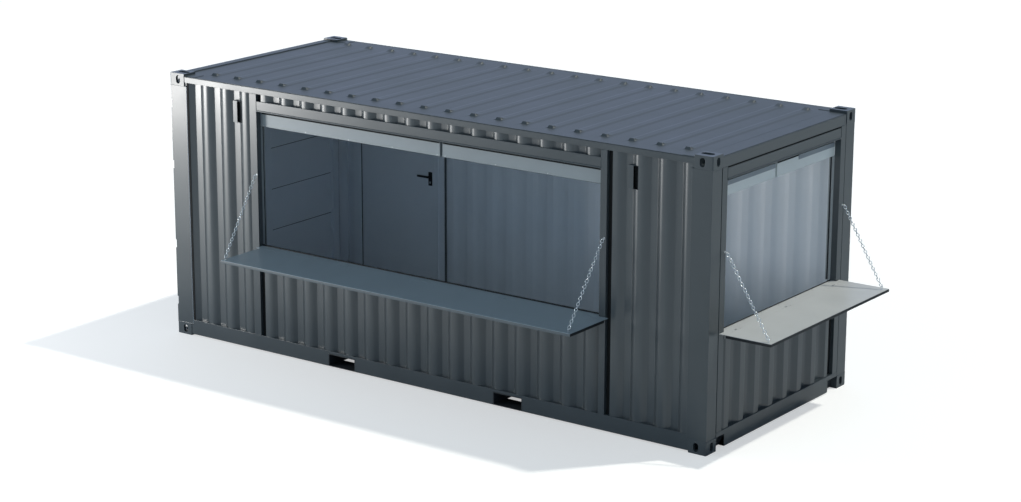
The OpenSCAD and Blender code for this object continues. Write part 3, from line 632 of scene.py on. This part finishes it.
def waved_sheet(line, rows, to_space, hole=None, inner_share=1.0):
    """A waved sheet: its outer face, its inner face one thickness behind, and
    closed edges. Rows are heights; a hole is left out between its limits; the
    waves of the inner face are inner_share times as deep as the outer ones."""
    inside = None
    if hole is not None:
        for x in hole[0]:
            depth = np.interp(x, line[:, 0], line[:, 1])
            line = np.insert(line, int(np.searchsorted(line[:, 0], x)), (x, depth), axis=0)
        rows = np.unique(np.concatenate([rows, hole[1]]))
        x_mid, z_mid = ((at[:-1] + at[1:]) / 2 for at in (line[:, 0], rows))
        inside = ((x_mid > hole[0][0]) & (x_mid < hole[0][1]))[:, None] \
            & ((z_mid > hole[1][0]) & (z_mid < hole[1][1]))[None, :]
    along, height = np.meshgrid(line[:, 0], rows, indexing="ij")
    outer = np.repeat(line[:, 1][:, None], len(rows), axis=1)
    sway = 0.0005 * np.sin(height * 5.1 + along * 2.3) * np.sin(along * 3.7)
    inner = outer.max() + wall_sheet - inner_share * (outer.max() - outer)
    points = np.concatenate([np.stack([along, depth + sway, height], -1).reshape(-1, 3)
                             for depth in (outer, inner)])
    faces, kinds = shell_faces(len(line), len(rows), inside)
    return (to_space(points), faces), kinds


def wall(name, node, spans, to_space, wave, radii=(0.085, 0.012), hole=None, inner_share=1.0):
    """A corrugated wall in place of a CAD node, one sheet for each span."""
    parts, kinds = [], []
    box_low, box_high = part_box(node)
    rows = np.linspace(box_low[2], box_high[2], 2 + int((box_high[2] - box_low[2]) / 0.16))
    for first, last in spans:
        cut = hole(first, last) if hole else None
        line = wave_line(first, last, *wave, radii)
        part, kind = waved_sheet(line, rows, to_space, cut, inner_share)
        parts.append(part)
        kinds.append(kind)
    piece = piece_from(name, parts, [sheet_paint, pale_inside], "root",
                       40.0, np.concatenate(kinds))
    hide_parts(node)
    return piece


def on_front(points):
    """Along, depth, height to the serving side of the frame."""
    return np.stack([points[:, 0], low.y + wave_set_back + points[:, 1], points[:, 2]], -1)


def on_back(points):
    """Along, depth, height to the side with the personnel door."""
    return np.stack([points[:, 0], high.y - wave_set_back - points[:, 1], points[:, 2]], -1)


def on_kiosk_end(points):
    """Along, depth, height to the end with the short opening."""
    return np.stack([high.x - wave_set_back - points[:, 1], points[:, 0], points[:, 2]], -1)


side_wave = (wave_start, wave_pitch, wave_flat, wave_slope, wave_depth)
vent_width, vent_height = 0.100, 0.206
vent_z = (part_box("vents")[0][2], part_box("vents")[0][2] + vent_height)
left_vent, right_vent = low.x + 0.788, low.x + 5.226


def vent_hole(first, last):
    """The hole for the ventilator that lies between first and last."""
    x = left_vent if last < 0 else right_vent
    return ((x, x + vent_width), vent_z)


front_low, front_high = corners("front_wall_beside_opening")
under_low, under_high = corners("front_wall_under_opening")
post_low, post_high = corners("side_frame_posts")
sealed_gap = 0.052
wall("front_sheets_beside_opening", "front_wall_beside_opening",
     [(front_low[0], post_low[0]), (post_high[0] + sealed_gap, front_high[0])],
     on_front, side_wave, hole=vent_hole)
wall("front_sheet_under_opening", "front_wall_under_opening",
     [(under_low[0], under_high[0])], on_front, side_wave)
wall("front_sheet_over_opening", "front_wall_over_opening",
     [(under_low[0], under_high[0])], on_front, side_wave)
back_low, back_high = corners("back_wall_beside_door")
door_frame_low, door_frame_high = corners("personnel_door_frame")
over_low, over_high = corners("back_wall_over_door")
lined_share = 0.28
wall("back_sheets_beside_door", "back_wall_beside_door",
     [(back_low[0], door_frame_low[0]), (door_frame_high[0], back_high[0])],
     on_back, side_wave, inner_share=lined_share)
wall("back_sheet_over_door", "back_wall_over_door",
     [(over_low[0], over_high[0])], on_back, side_wave, inner_share=lined_share)
end_low, end_high = corners("end_wall_under_opening")
end_pitch, end_flat, end_slope = 0.2505, 0.075, 0.050
wall("end_sheet_under_opening", "end_wall_under_opening", [(end_low[1], end_high[1])],
     on_kiosk_end, (low.y + 0.297, end_pitch, end_flat, end_slope, wave_depth),
     radii=(0.012, 0.050))


# ---------------------------------------------------------------------------
# Joints between frames and sheets: black strips set back in the gaps, with a
# rounded face; their black is painted shade for the deep gaps beside the posts.
# The same black serves the real seals and gaskets elsewhere.
def rubber(name, code, roughness):
    """Black rubber or sealant: dull, with a fine grain of about 2 mm."""
    mat, tree, shader, place = new_material(name)
    grain = add_node(tree, "ShaderNodeTexNoise", {"Scale": 450.0, "Detail": 2.0},
                     {"Vector": place})
    dark = linear(code)
    worn = (*(min(1.0, 1.6 * c) for c in dark[:3]), 1.0)
    tone = add_node(tree, "ShaderNodeMix", {"data_type": "RGBA", 6: dark, 7: worn},
                    {0: grain.outputs["Fac"]})
    bump = add_node(tree, "ShaderNodeBump", {"Strength": 0.2, "Distance": 0.0004},
                    {"Height": grain.outputs["Fac"]})
    set_node(tree, shader, {"Roughness": roughness, "Specular IOR Level": 0.3},
             {"Base Color": tone.outputs[2], "Normal": bump.outputs[0]})
    return mat


# Black of seals and gaskets, also used as painted shade in gaps, slots and recesses
black_seal_and_shade = rubber("black_butyl_and_painted_shade", "#0a0b0c", 0.8)
# The gap strips beside the posts: painted shade
softened("wall_seals", 0.003, black_seal_and_shade)
seals_low, seals_high = corners("wall_seals")
# Black filler beside the left post: painted shade in the gap
filler = slab((low.x + 0.2035, low.x + 0.2268), (low.y + 0.007, low.y + 0.040),
              (seals_low[2], seals_high[2]), 0.002)
piece_from("post_gap_filler", [filler], [black_seal_and_shade], "root")


# ---------------------------------------------------------------------------
# Frames, headers and sills of the openings: square steel tubes in anthracite,
# welded at the corners, with a round drip bead along the foot of both headers
# and a black strip in the slot over the end header, painted shade in the slot.
for node in ("side_frame_posts", "end_frame_posts", "opening_headers", "opening_sills"):
    softened(node, 0.004, anthracite, segments=3)

side_x = (post_low[0] + 0.085, post_high[0] - 0.066)
side_face = post_low[1]
end_post_low, end_post_high = corners("end_frame_posts")
end_y = (end_post_low[1] + 0.082, end_post_high[1] - 0.082)
end_face = end_post_high[0]
side_head_z, end_head_z, head_height = 2.340, 2.353, 0.100
sill_low, sill_high = corners("opening_sills")
sill_z = (sill_low[2], sill_high[2])
frames = (("side", [(x, side_face) for x in side_x], side_head_z, (0, 1, 0)),
          ("end", [(end_face, y) for y in end_y], end_head_z, (1, 0, 0)))
for side, ends, head_z, face in frames:
    weld(side + "_frame_weld_beads", [((x, y, z0), (x, y, z1)) for x, y in ends
                                      for z0, z1 in ((head_z, head_z + head_height), sill_z)],
         face, radius=0.003)
# Black strip at the back of the slot: painted shade
slot_shade = slab((end_face - 0.020, end_face - 0.006), end_y,
                 (end_head_z + head_height - 0.002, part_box("end_top_rail")[0][2] + 0.002), 0.001)
piece_from("end_slot_shade", [slot_shade], [black_seal_and_shade], "root")
drip = arc_profile(0.006, 0.008, 10)
for side, ends, head_z, face in frames:
    piece_from(side + "_drip_bead",
               [sweep(drip, [(x, y, head_z + 0.009) for x, y in ends], (0, 0, 1))],
               [anthracite], "root", 60.0)


# ---------------------------------------------------------------------------
# Sill strips and counters: folded sheets in baked enamel, countersunk screws
# along the strips, stiffeners under the counters and profiles round their edges,
# black on the end counter and grey on the front and far end of the side one.
# The side counter, its sill strip, lips and grey edge take darker copies of the
# pale enamel: painted shade for the kiosk's shadow over the serving side.
def enamel(name, code, roughness=0.42):
    """Baked enamel on folded sheet: even, with a speckle of 1 mm and a slow
    drift of tone and gloss, as where it is wiped."""
    mat, tree, shader, place = new_material(name)
    speck = add_node(tree, "ShaderNodeTexNoise", {"Scale": 900.0, "Detail": 1.0},
                     {"Vector": place})
    cloud = add_node(tree, "ShaderNodeTexNoise", {"Scale": 3.0, "Detail": 5.0},
                     {"Vector": place})
    tone = add_node(tree, "ShaderNodeMapRange",
                    {"From Min": 0.3, "From Max": 0.7, "To Min": 0.95, "To Max": 1.04},
                    {"Value": cloud.outputs["Fac"]})
    fine = add_node(tree, "ShaderNodeMapRange",
                    {"From Min": 0.3, "From Max": 0.7, "To Min": 0.97, "To Max": 1.03},
                    {"Value": speck.outputs["Fac"]})
    both = add_node(tree, "ShaderNodeMath", {"operation": "MULTIPLY"},
                    {0: tone.outputs[0], 1: fine.outputs[0]})
    colour = add_node(tree, "ShaderNodeMix", {"data_type": "RGBA", "blend_type": "MULTIPLY",
                                              0: 1.0, 6: linear(code)}, {7: both.outputs[0]})
    rough = add_node(tree, "ShaderNodeMapRange",
                     {"To Min": roughness - 0.06, "To Max": roughness + 0.10},
                     {"Value": cloud.outputs["Fac"]})
    bump = add_node(tree, "ShaderNodeBump", {"Strength": 0.12, "Distance": 0.0003},
                    {"Height": speck.outputs["Fac"]})
    set_node(tree, shader, None, {"Base Color": colour.outputs[2], "Roughness": rough.outputs[0],
                                  "Normal": bump.outputs[0]})
    return mat


def metal(name, code, roughness, spangle=160.0):
    """Zinc plating: spangles of about 6 mm, or 2 mm on small parts, that differ
    in tone and gloss."""
    mat, tree, shader, place = new_material(name)
    cells = add_node(tree, "ShaderNodeTexVoronoi", {"Scale": spangle}, {"Vector": place})
    grey = add_node(tree, "ShaderNodeRGBToBW", links={0: cells.outputs["Color"]})
    tone = add_node(tree, "ShaderNodeMapRange", {"To Min": 0.80, "To Max": 1.10},
                    {"Value": grey.outputs[0]})
    colour = add_node(tree, "ShaderNodeMix", {"data_type": "RGBA", "blend_type": "MULTIPLY",
                                              0: 1.0, 6: linear(code)}, {7: tone.outputs[0]})
    rough = add_node(tree, "ShaderNodeMapRange",
                     {"To Min": roughness - 0.07, "To Max": roughness + 0.09},
                     {"Value": grey.outputs[0]})
    set_node(tree, shader, {"Metallic": 1.0},
             {"Base Color": colour.outputs[2], "Roughness": rough.outputs[0]})
    return mat


pale_enamel = enamel("counter_grey", "#bebebd")
# Darker copy of the counter enamel: painted shade on the serving side
shaded_counter_enamel = enamel("counter_grey_in_painted_shade", "#8a97a0")
# Black of the edge profiles and feet, also painted shade on the landing strips
edge_rubber_and_shade = rubber("black_edge_profile_and_painted_shade", "#14171a", 0.55)
# Darker again for the side counter's edge: painted shade
shaded_edge_enamel = enamel("side_counter_edge_in_painted_shade", "#50585d")
zinc = metal("zinc_steel", "#c4c8ca", 0.30)
strips = softened("sill_strips", 0.0012, pale_enamel, segments=2)
# The side sill strip takes the shaded copy: painted shade
repaint(strips.data, shaded_counter_enamel, lambda face: face.center.x < high.x - 0.4)


def screw_heads(name, places, normal, body, material, radius=0.006):
    """Countersunk heads at places: a low dome with a cross recess, each facing
    along normal."""
    normal = np.array(normal, float)
    side = np.cross(normal, (0.3, 0.5, 0.8))
    side /= np.linalg.norm(side)
    other = np.cross(normal, side)
    angles = np.arange(12) * math.pi / 6
    rings = [(radius, -0.0005), (radius, 0.0008), (radius * 0.8, 0.0016), (radius * 0.3, 0.0016),
             (radius * 0.22, 0.0004)]
    head = np.concatenate([r * (np.cos(angles)[:, None] * side + np.sin(angles)[:, None] * other)
                           + h * normal for r, h in rings])
    faces = []
    for k in range(len(rings) - 1):
        faces += [[k * 12 + i, k * 12 + (i + 1) % 12, (k + 1) * 12 + (i + 1) % 12,
                   (k + 1) * 12 + i] for i in range(12)]
    faces += [list(range(12))[::-1], list(range(48, 60))]
    return piece_from(name, [(head + np.array(place), faces) for place in places],
                      [material], body)


strip_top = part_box("sill_strips")[1][2]
side_screws = [(x, side_face + 0.030, strip_top)
               for x in np.linspace(side_x[0] + 0.08, side_x[1] - 0.08, 14)]
end_screws = [(end_face - 0.030, y, strip_top)
              for y in np.linspace(end_y[0] + 0.08, end_y[1] - 0.08, 7)]
screw_heads("sill_screws", side_screws + end_screws, (0, 0, 1), "root", zinc)


def spot(side, along, out):
    """The x and y of a place along an opening, at a distance out from the frame."""
    return (along, low.y - out) if side == "side" else (high.x + out, along)


def at_opening(side, along, out, z, edge):
    """A slab along an opening, between two distances out from the frame."""
    x, y = zip(spot(side, along[0], out[0]), spot(side, along[1], out[1]))
    return slab(sorted(x), sorted(y), z, edge)


board, hinge_out, stiffener = 0.028, 0.059, 0.030
edge_half = board / 2
edge_section = [(-0.0025, -edge_half - 0.001), (0.0022, -edge_half + 0.001),
                (0.003, -edge_half + 0.004), (0.003, edge_half - 0.007),
                (0.0022, edge_half - 0.004), (-0.0025, edge_half - 0.003)]
counter_spans = {}
for side, axis, top_enamel, reach, margins, count in (
        # The side counter takes the shaded copy of the enamel: painted shade
        ("side", 0, shaded_counter_enamel, 0.575, (0.25, 0.28), 6),
        ("end", 1, pale_enamel, 0.498, (0.20, 0.23), 4)):
    node = side + "_counter"
    softened(node, 0.0025, top_enamel, segments=2)
    c_low, c_high = corners(node)
    first, last = counter_spans[side] = (c_low[axis], c_high[axis])
    rim = [(*spot(side, along, out), c_high[2] - edge_half)
           for along, out in ((first, hinge_out + 0.004), (first, reach),
                              (last, reach), (last, hinge_out + 0.004))]
    edge = piece_from(node + "_edge", [sweep(edge_section, rim, (0, 0, 1))], [edge_rubber_and_shade],
                      node, 50.0).data
    if side == "side":
        # The side counter's grey edge: a darker copy, painted shade
        repaint(edge, shaded_edge_enamel, lambda face: face.center.x < last - 0.004)
    under_z = (c_high[2] - board - 0.012, c_high[2] - board + 0.001)
    under = [at_opening(side, (at, at + stiffener), (hinge_out + 0.02, reach - 0.03),
                        under_z, 0.002)
             for at in np.linspace(first + margins[0], last - margins[1], count)]
    piece_from(node + "_stiffeners", under, [top_enamel], node)


# ---------------------------------------------------------------------------
# Lips and landing seals: enamelled lips on the sill strips close the gaps between
# the counter hinges, and black rubber where the shutters land lines the strips; its
# black is also painted shade for the dark line at the strips' inner edges.
def gaps_between(first, last, stops, half):
    """Spans from first to last, left open by half on each side of every stop."""
    marks = [first] + [m for stop in stops for m in (stop - half, stop + half)] + [last]
    return list(zip(marks[::2], marks[1::2]))


inner_y = max(v.co.y for v in strips.data.vertices if v.co.x < 2.0)
inner_x = min(v.co.x for v in strips.data.vertices if v.co.x > 2.5)
# Black landing strips: partly real seals, partly painted shade at the inner edge
landings = [slab(side_x, (inner_y - 0.016, inner_y - 0.001),
                 (strip_top - 0.002, strip_top + 0.012), 0.003),
            slab((inner_x + 0.001, inner_x + 0.010), end_y,
                 (strip_top - 0.002, strip_top + 0.006), 0.002)]
piece_from("shutter_landing_seals", landings, [edge_rubber_and_shade], "root")
lip_z = (strip_top - 0.0016, strip_top - 0.0002)
hinge_half = 0.062
# The side lips take the shaded copy of the enamel: painted shade
for side, steps, lip_enamel in (("side", np.arange(-2, 3) * 0.9, shaded_counter_enamel),
                                ("end", np.arange(-1, 2) * 0.85, pale_enamel)):
    first, last = counter_spans[side]
    lips = [at_opening(side, span, (0.034, 0.0582), lip_z, 0.0)
            for span in gaps_between(first, last, (first + last) / 2 + steps, hinge_half)]
    piece_from(side + "_hinge_lips", lips, [lip_enamel], "root")


# ---------------------------------------------------------------------------
# Roller shutters: two casings over each opening, folded from enamelled sheet,
# with end plates, grey strips along the top of the end casings and screws, the
# curtain's last slat just showing under each, and guides with black brush strips.
# The side casings are a darker and the end casings a paler copy of one enamel:
# painted shade and painted light. A black strip on each casing's top is painted
# shade under the header.
# Side casings' grey: the enamel darkened as painted shade for the serving side
casing_paint = enamel("shutter_grey", "#7f878b", 0.42)
# The same enamel made paler: painted light on the end that faces the light
lit_end_casing_paint = enamel("shutter_grey_in_painted_light", "#c9cfcf", 0.42)
top_strip_paint = enamel("shutter_top_strip_grey", "#7d868d", 0.45)


def casing(name, node, spans, depth, to_space, paint, out):
    """Casings along a line: a section with a rounded front and a slope at the
    back, plates at the ends, a slat with its rubber foot in the slot, a black strip
    on top that is painted shade under the header, and screws along the front.
    Returns the heights of foot and top."""
    z0, z1 = (corner[2] for corner in corners(node))
    face, end_plate = casing_face, 0.003
    section = [(face, z0 + 0.004), (face, z1), (face + depth, z1), (face + depth, z0 + 0.045),
               (face + depth - 0.045, z0), (face + 0.048, z0), (face + 0.048, z0 + 0.006),
               (face + 0.026, z0 + 0.006), (face + 0.026, z0), (face + 0.004, z0)]
    plate = [(face - 0.0015, z0 - 0.0015), (face - 0.0015, z1), (face + depth, z1),
             (face + depth, z0 + 0.043), (face + depth - 0.043, z0 - 0.0015)]
    slat = arc_profile(0.006, 0.010, 8) + (face + 0.037, z0 + 0.004)
    foot = [(face + 0.034, z0 - 0.010), (face + 0.040, z0 - 0.010),
            (face + 0.041, z0 - 0.004), (face + 0.033, z0 - 0.004)]

    def placed(profile, runs):
        parts = [sweep(profile, [(x0, 0, 0), (x1, 0, 0)], (0, 0, 1)) for x0, x1 in runs]
        return [(to_space(points), faces) for points, faces in parts]

    def inset(by):
        return [(first + by, last - by) for first, last in spans]

    piece = piece_from(name, placed(section, inset(end_plate)), [paint], "root")
    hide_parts(node)
    ends = [run for first, last in spans
            for run in ((first, first + end_plate), (last - end_plate, last))]
    piece_from(name + "_end_plates", placed(plate, ends), [paint], "root")
    piece_from(name + "_slats", placed(slat, inset(0.010)), [paint], "root", 60.0)
    piece_from(name + "_feet", placed(foot, inset(0.012)), [edge_rubber_and_shade], "root")
    # Black strips along the casings' tops: painted shade under the header
    seals = [slab(span, (-face - 0.003, -face + 0.0012), (z1 - 0.010, z1 + 0.001))
             for span in spans]
    piece_from(name + "_top_shade_strips", [(to_space(points), faces) for points, faces in seals],
               [black_seal_and_shade], "root")
    heads = [(x, -face, z0 + 0.012) for first, last in spans
             for x in np.linspace(first + 0.03, last - 0.03, max(3, int((last - first) / 0.4)))]
    screw_heads(name[:-1] + "_screws", to_space(np.array(heads)), out, "root", zinc,
                0.005)
    return z0, z1


def side_casings(points):
    """Sections drawn as (along, -depth, height) behind the side opening."""
    return np.stack([points[:, 0], low.y - points[:, 1], points[:, 2]], -1)


def end_casings(points):
    """Sections drawn as (along, -depth, height) behind the end opening."""
    return np.stack([high.x + points[:, 1], points[:, 0], points[:, 2]], -1)


casing_face, casing_depth, casing_gap = 0.067, 0.110, 0.029
box_low, box_high = corners("side_shutter_boxes")
split = low.x + 3.206
casing("side_casings", "side_shutter_boxes",
       [(box_low[0], split - casing_gap / 2), (split + casing_gap / 2, box_high[0])],
       casing_depth, side_casings, casing_paint, (0, -1, 0))
box_low, box_high = corners("end_shutter_boxes")
split = low.y + 1.158
end_spans = [(box_low[1], split - casing_gap / 2), (split + casing_gap / 2, box_high[1])]
casing_z = casing("end_casings", "end_shutter_boxes", end_spans, casing_depth, end_casings,
                  lit_end_casing_paint, (1, 0, 0))
# Darker grey strips along the top of the end casings, in two lengths
top_strip_z = (casing_z[1] - 0.043, casing_z[1] - 0.001)
top_strips = [slab(span, (-casing_face - 0.001, -casing_face + 0.004), top_strip_z)
          for span in (end_spans[0], (low.y + 1.545, end_spans[1][1]))]
piece_from("end_casing_top_strips", [(end_casings(p), f) for p, f in top_strips], [top_strip_paint],
           "root")

softened("shutter_guides", 0.0015, casing_paint)
guide_low, guide_high = corners("shutter_guides")
guide_z = (guide_low[2] + 0.002, guide_high[2] - 0.002)
brushes = [at_opening(side, sorted((at + turn_in * 0.001, at + turn_in * 0.007)),
                      (-depth - 0.003, -depth), guide_z, 0.0)
           for side, limits in (("side", side_x), ("end", end_y))
           for at, turn_in in zip(limits, (-1, 1)) for depth in (0.090, 0.099)]
piece_from("guide_brushes", brushes, [black_seal_and_shade], "root")


# ---------------------------------------------------------------------------
# Ventilators: pressed boxes let into the front wall, half covered by a plate,
# lined black inside as painted shade, with a wire mesh, and hoods in the hollows
# of the back wall.
softened("vents", 0.0015, anthracite)
# Black liners inside the boxes: painted shade
liners, wires = [], []
vent_skin, liner, vent_cover, vent_depth, wire_count = 0.0035, 0.001, 0.052, 0.0535, 16
z0, z1 = vent_z[0] + vent_skin, vent_z[1] - vent_skin
y0 = low.y + 0.010 + vent_skin
y1 = y0 + vent_depth
for x in (left_vent, right_vent):
    x0, x1 = x + vent_skin, x + vent_width - vent_skin
    liners += [slab((x0, x1), (y1 - 2 * liner, y1), (z0, z1)),
               slab((x0, x0 + liner), (y0, y1), (z0, z1)),
               slab((x1 - liner, x1), (y0, y1), (z0, z1)),
               slab((x0, x1), (y0, y1), (z0, z0 + liner)),
               slab((x0, x1), (y0, y1), (z1 - liner, z1))]
    wires += [sweep(arc_profile(0.0007, 0.0007, 5),
                    [(x + vent_cover, y0 + 0.012, z), (x1, y0 + 0.012, z)], (0, 0, 1))
              for z in np.linspace(z0 + 0.01, z1 - 0.01, wire_count)]
piece_from("vent_shade_liners", liners, [black_seal_and_shade], "root")
piece_from("vent_meshes", wires, [shaded_underside_paint], "root", 70.0)


# ---------------------------------------------------------------------------
# Chains: welded steel links of 7 mm wire, zinc plated, each turned a quarter
# from the last, from the wall eyes to the eyes near the counters' corners.
chain_zinc = metal("zinc_on_chains", "#e6e9eb", 0.24, spangle=420.0)
link_wire, link_end, link_straight = 0.0034, 0.0112, 0.0110
link_pitch = link_straight + 2 * (link_end - link_wire)


def link_points():
    """One link along x in the x-y plane: two half rings, whose ends the two
    straight sides join."""
    arc = np.linspace(-math.pi / 2, math.pi / 2, 6)
    right = np.stack([link_straight / 2 + link_end * np.cos(arc), link_end * np.sin(arc)], -1)
    return np.pad(np.concatenate([right, -right]), ((0, 0), (0, 1)))


def chain(name, top, foot):
    """A taut chain of interlocked links between the rings of two eyes, from the
    wall to the counter that it holds."""
    top, foot = np.array(top), np.array(foot)
    run = foot - top
    length = np.linalg.norm(run)
    run /= length
    side = np.cross(run, (0.6, -0.8, 0.25))
    side /= np.linalg.norm(side)
    other = np.cross(run, side)
    in_eyes = 0.014
    count = int((length - in_eyes) / link_pitch)
    pitch = (length - in_eyes) / count
    shape, faces = sweep(arc_profile(link_wire, link_wire, 7), link_points(), (0, 0, 1), loop=True)
    parts = []
    for i in range(count):
        a, b = (side, other) if i % 2 == 0 else (other, -side)
        centre = top + run * (in_eyes / 2 + (i + 0.5) * pitch)
        parts.append((centre + shape[:, :1] * run + shape[:, 1:2] * a + shape[:, 2:] * b, faces))
    piece = show(name, smooth_mesh(name, parts), [chain_zinc], None)
    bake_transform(piece)
    return piece


eye_out, eye_face, eye_inset, chain_top = 0.022, 0.003, 0.040, 1.738
for side, body, reach, ends in (
        ("side", "side_counter", 0.575, (("left", side_x[0] - 0.008, low.x + 1.143),
                                         ("right", side_x[1] + 0.048, low.x + 5.008))),
        ("end", "end_counter", 0.498, (("near", end_y[0] - 0.021, low.y + 0.200),
                                       ("far", end_y[1] + 0.061, low.y + 2.192)))):
    flap_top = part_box(body)[1][2]
    chains = [chain(f"{side}_chain_{label}", (*spot(side, at_wall, eye_out - eye_face), chain_top),
                    (*spot(side, at_flap, reach - eye_inset), flap_top + eye_out))
              for label, at_wall, at_flap in ends]
    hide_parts(side + "_chains")
for node in ("wall_chain_eyes", "side_counter_eyes", "end_counter_eyes"):
    softened(node, 0.0006, chain_zinc, segments=1)


# ---------------------------------------------------------------------------
# Personnel door: a sheet-steel leaf in a welded tube frame, pale inside and
# anthracite outside, with a shallow fold round the leaf, a black seal round the
# rebate, lever handles on plates and a lock cylinder.
door_outer, door_inner = high.y - 0.022, high.y - 0.067
for node, width in (("personnel_door_frame", 0.003), ("personnel_door", 0.002)):
    repaint(softened(node, width, pale_inside, segments=3).data, anthracite,
            lambda face: face.normal.y > -0.3 and face.center.y > door_inner + 0.005)
black_plastic = rubber("black_plastic", "#16181a", 0.42)
softened("personnel_door_levers", 0.004, black_plastic, segments=3)
leaf_x = (low.x + 0.398, low.x + 1.407)
leaf_z = (0.180, 2.187)
fold = [(-0.003, -0.0015), (0.003, -0.0015), (0.002, 0.0015), (-0.002, 0.0015)]


def ring_of(a, b):
    """The four corners of a rectangle between two limits of each coordinate."""
    return [(a[0], b[0]), (a[1], b[0]), (a[1], b[1]), (a[0], b[1])]


def shorter(span, by):
    """A span made shorter by the same length at both ends."""
    return (span[0] + by, span[1] - by)


rim = ring_of(shorter(leaf_x, 0.05), shorter(leaf_z, 0.05))
piece_from("personnel_door_inner_fold",
           [sweep(fold, [(x, door_inner, z) for x, z in rim], (0, -1, 0), loop=True)],
           [pale_inside], "personnel_door", 50.0)
lip = [(-0.004, -0.003), (0.004, -0.003), (0.003, 0.003), (-0.003, 0.003)]
rebate = ring_of((low.x + 0.409, low.x + 1.396), (leaf_z[0] + 0.004, leaf_z[1] - 0.018))
piece_from("personnel_door_seal",
           [sweep(lip, [(x, door_inner - 0.006, z) for x, z in rebate], (0, -1, 0), loop=True)],
           [black_seal_and_shade], "root", 50.0)
lock_x, lock_z = leaf_x[1] - 0.105, 1.238
cylinders = [sweep(arc_profile(0.0085, 0.0125, 14), [(lock_x, y, lock_z) for y in reach],
                   (0, 0, 1))
             for reach in ((door_inner - 0.012, door_inner - 0.004),
                           (door_outer + 0.004, door_outer + 0.009))]
piece_from("personnel_door_lock", cylinders, [zinc], "personnel_door")


# ---------------------------------------------------------------------------
# Cargo doors: framed leaves with pressed panels, pale inside, with linings round
# the panels, black beads that draw dark lines across them, black gaskets, lock
# bars with zinc hubs and zinc hinge pins.
leaf_face, leaf_frame, skin, lining = low.x + 0.045, 0.088, 0.004, 0.0012
leaf_z = (0.168, 2.468)
skin_x = (leaf_face + 0.0502, leaf_face + 0.0525)
lining_x = (leaf_face + 0.0112, leaf_face + 0.0525)
dark_line_x, dark_line_heights = leaf_face + 0.0118, (0.757, 1.182, 1.606, 2.031)
gasket = [(-0.004, -0.003), (0.006, -0.003), (0.006, 0.004), (-0.004, 0.004)]
bar_x, bar_places, hub_heights = low.x + 0.024, (0.330, 0.960), (1.165, 1.228)
for side, sign in (("front", -1), ("back", 1)):
    leaf, body = side + "_cargo_leaf", side + "_cargo_door"
    repaint(softened(leaf, 0.003, anthracite).data, pale_inside,
            lambda face: face.normal.x > 0.25)
    softened(side + "_lock_bars", 0.002, anthracite)
    leaf_y = (low.y + 0.070, -0.006) if side == "front" else (0.006, high.y - 0.070)
    round_leaf = ring_of((leaf_y[0] + 0.012, leaf_y[1] - 0.006), shorter(leaf_z, 0.012))
    piece_from(leaf + "_gasket",
               [sweep(gasket, [(leaf_face - 0.003, y, z) for y, z in round_leaf], (-1, 0, 0),
                      loop=True)], [black_seal_and_shade], body, 50.0)
    inner_y, inner_z = shorter(leaf_y, leaf_frame), shorter(leaf_z, leaf_frame)
    inner = [slab(skin_x, span, shorter(leaf_z, skin))
             for span in ((leaf_y[0] + skin, inner_y[0]), (inner_y[1], leaf_y[1] - skin))]
    inner += [slab(skin_x, inner_y, span)
              for span in ((leaf_z[0] + skin, inner_z[0]), (inner_z[1], leaf_z[1] - skin))]
    (y0, y1), (z0, z1) = shorter(leaf_y, 0.090), shorter(leaf_z, 0.090)
    inner += [slab(lining_x, span, shorter(leaf_z, 0.089))
              for span in ((y0, y0 + lining), (y1 - lining, y1))]
    inner += [slab(lining_x, shorter(leaf_y, 0.089), span)
              for span in ((z0, z0 + lining), (z1 - lining, z1))]
    piece_from(leaf + "_inner_skin", inner, [pale_inside], body)
    # Black beads at the rib heights, drawn as thin dark lines across the panels
    seams = [sweep(arc_profile(0.003, 0.003, 8),
                   [(dark_line_x, y, z) for y in shorter(leaf_y, 0.092)], (0, 0, 1))
             for z in dark_line_heights]
    piece_from(leaf + "_dark_line_beads", seams, [black_seal_and_shade], body, 60.0)
    hubs = [sweep(arc_profile(0.020, 0.020, 14),
                  [(bar_x, sign * (high.y - y), z) for z in (z0, z0 + 0.010)], (0, 1, 0))
            for y in bar_places for z0 in hub_heights]
    piece_from(side + "_handle_hubs", hubs, [zinc], body)
softened("cargo_door_lugs", 0.0015, anthracite)
pins = [sweep(arc_profile(0.011, 0.011, 14), [(low.x + 0.020, y, z + end) for end in ends],
              (0, 1, 0))
        for y in (low.y + 0.035, high.y - 0.035) for z in (0.330, 0.900, 1.690, 2.290)
        for ends in ((-0.047, -0.045), (0.045, 0.047))]
piece_from("cargo_hinge_pin_heads", pins, [zinc], "root")


# ---------------------------------------------------------------------------
# View transform, and the end of the script.
view = bpy.context.scene.view_settings
view.view_transform = "Standard"
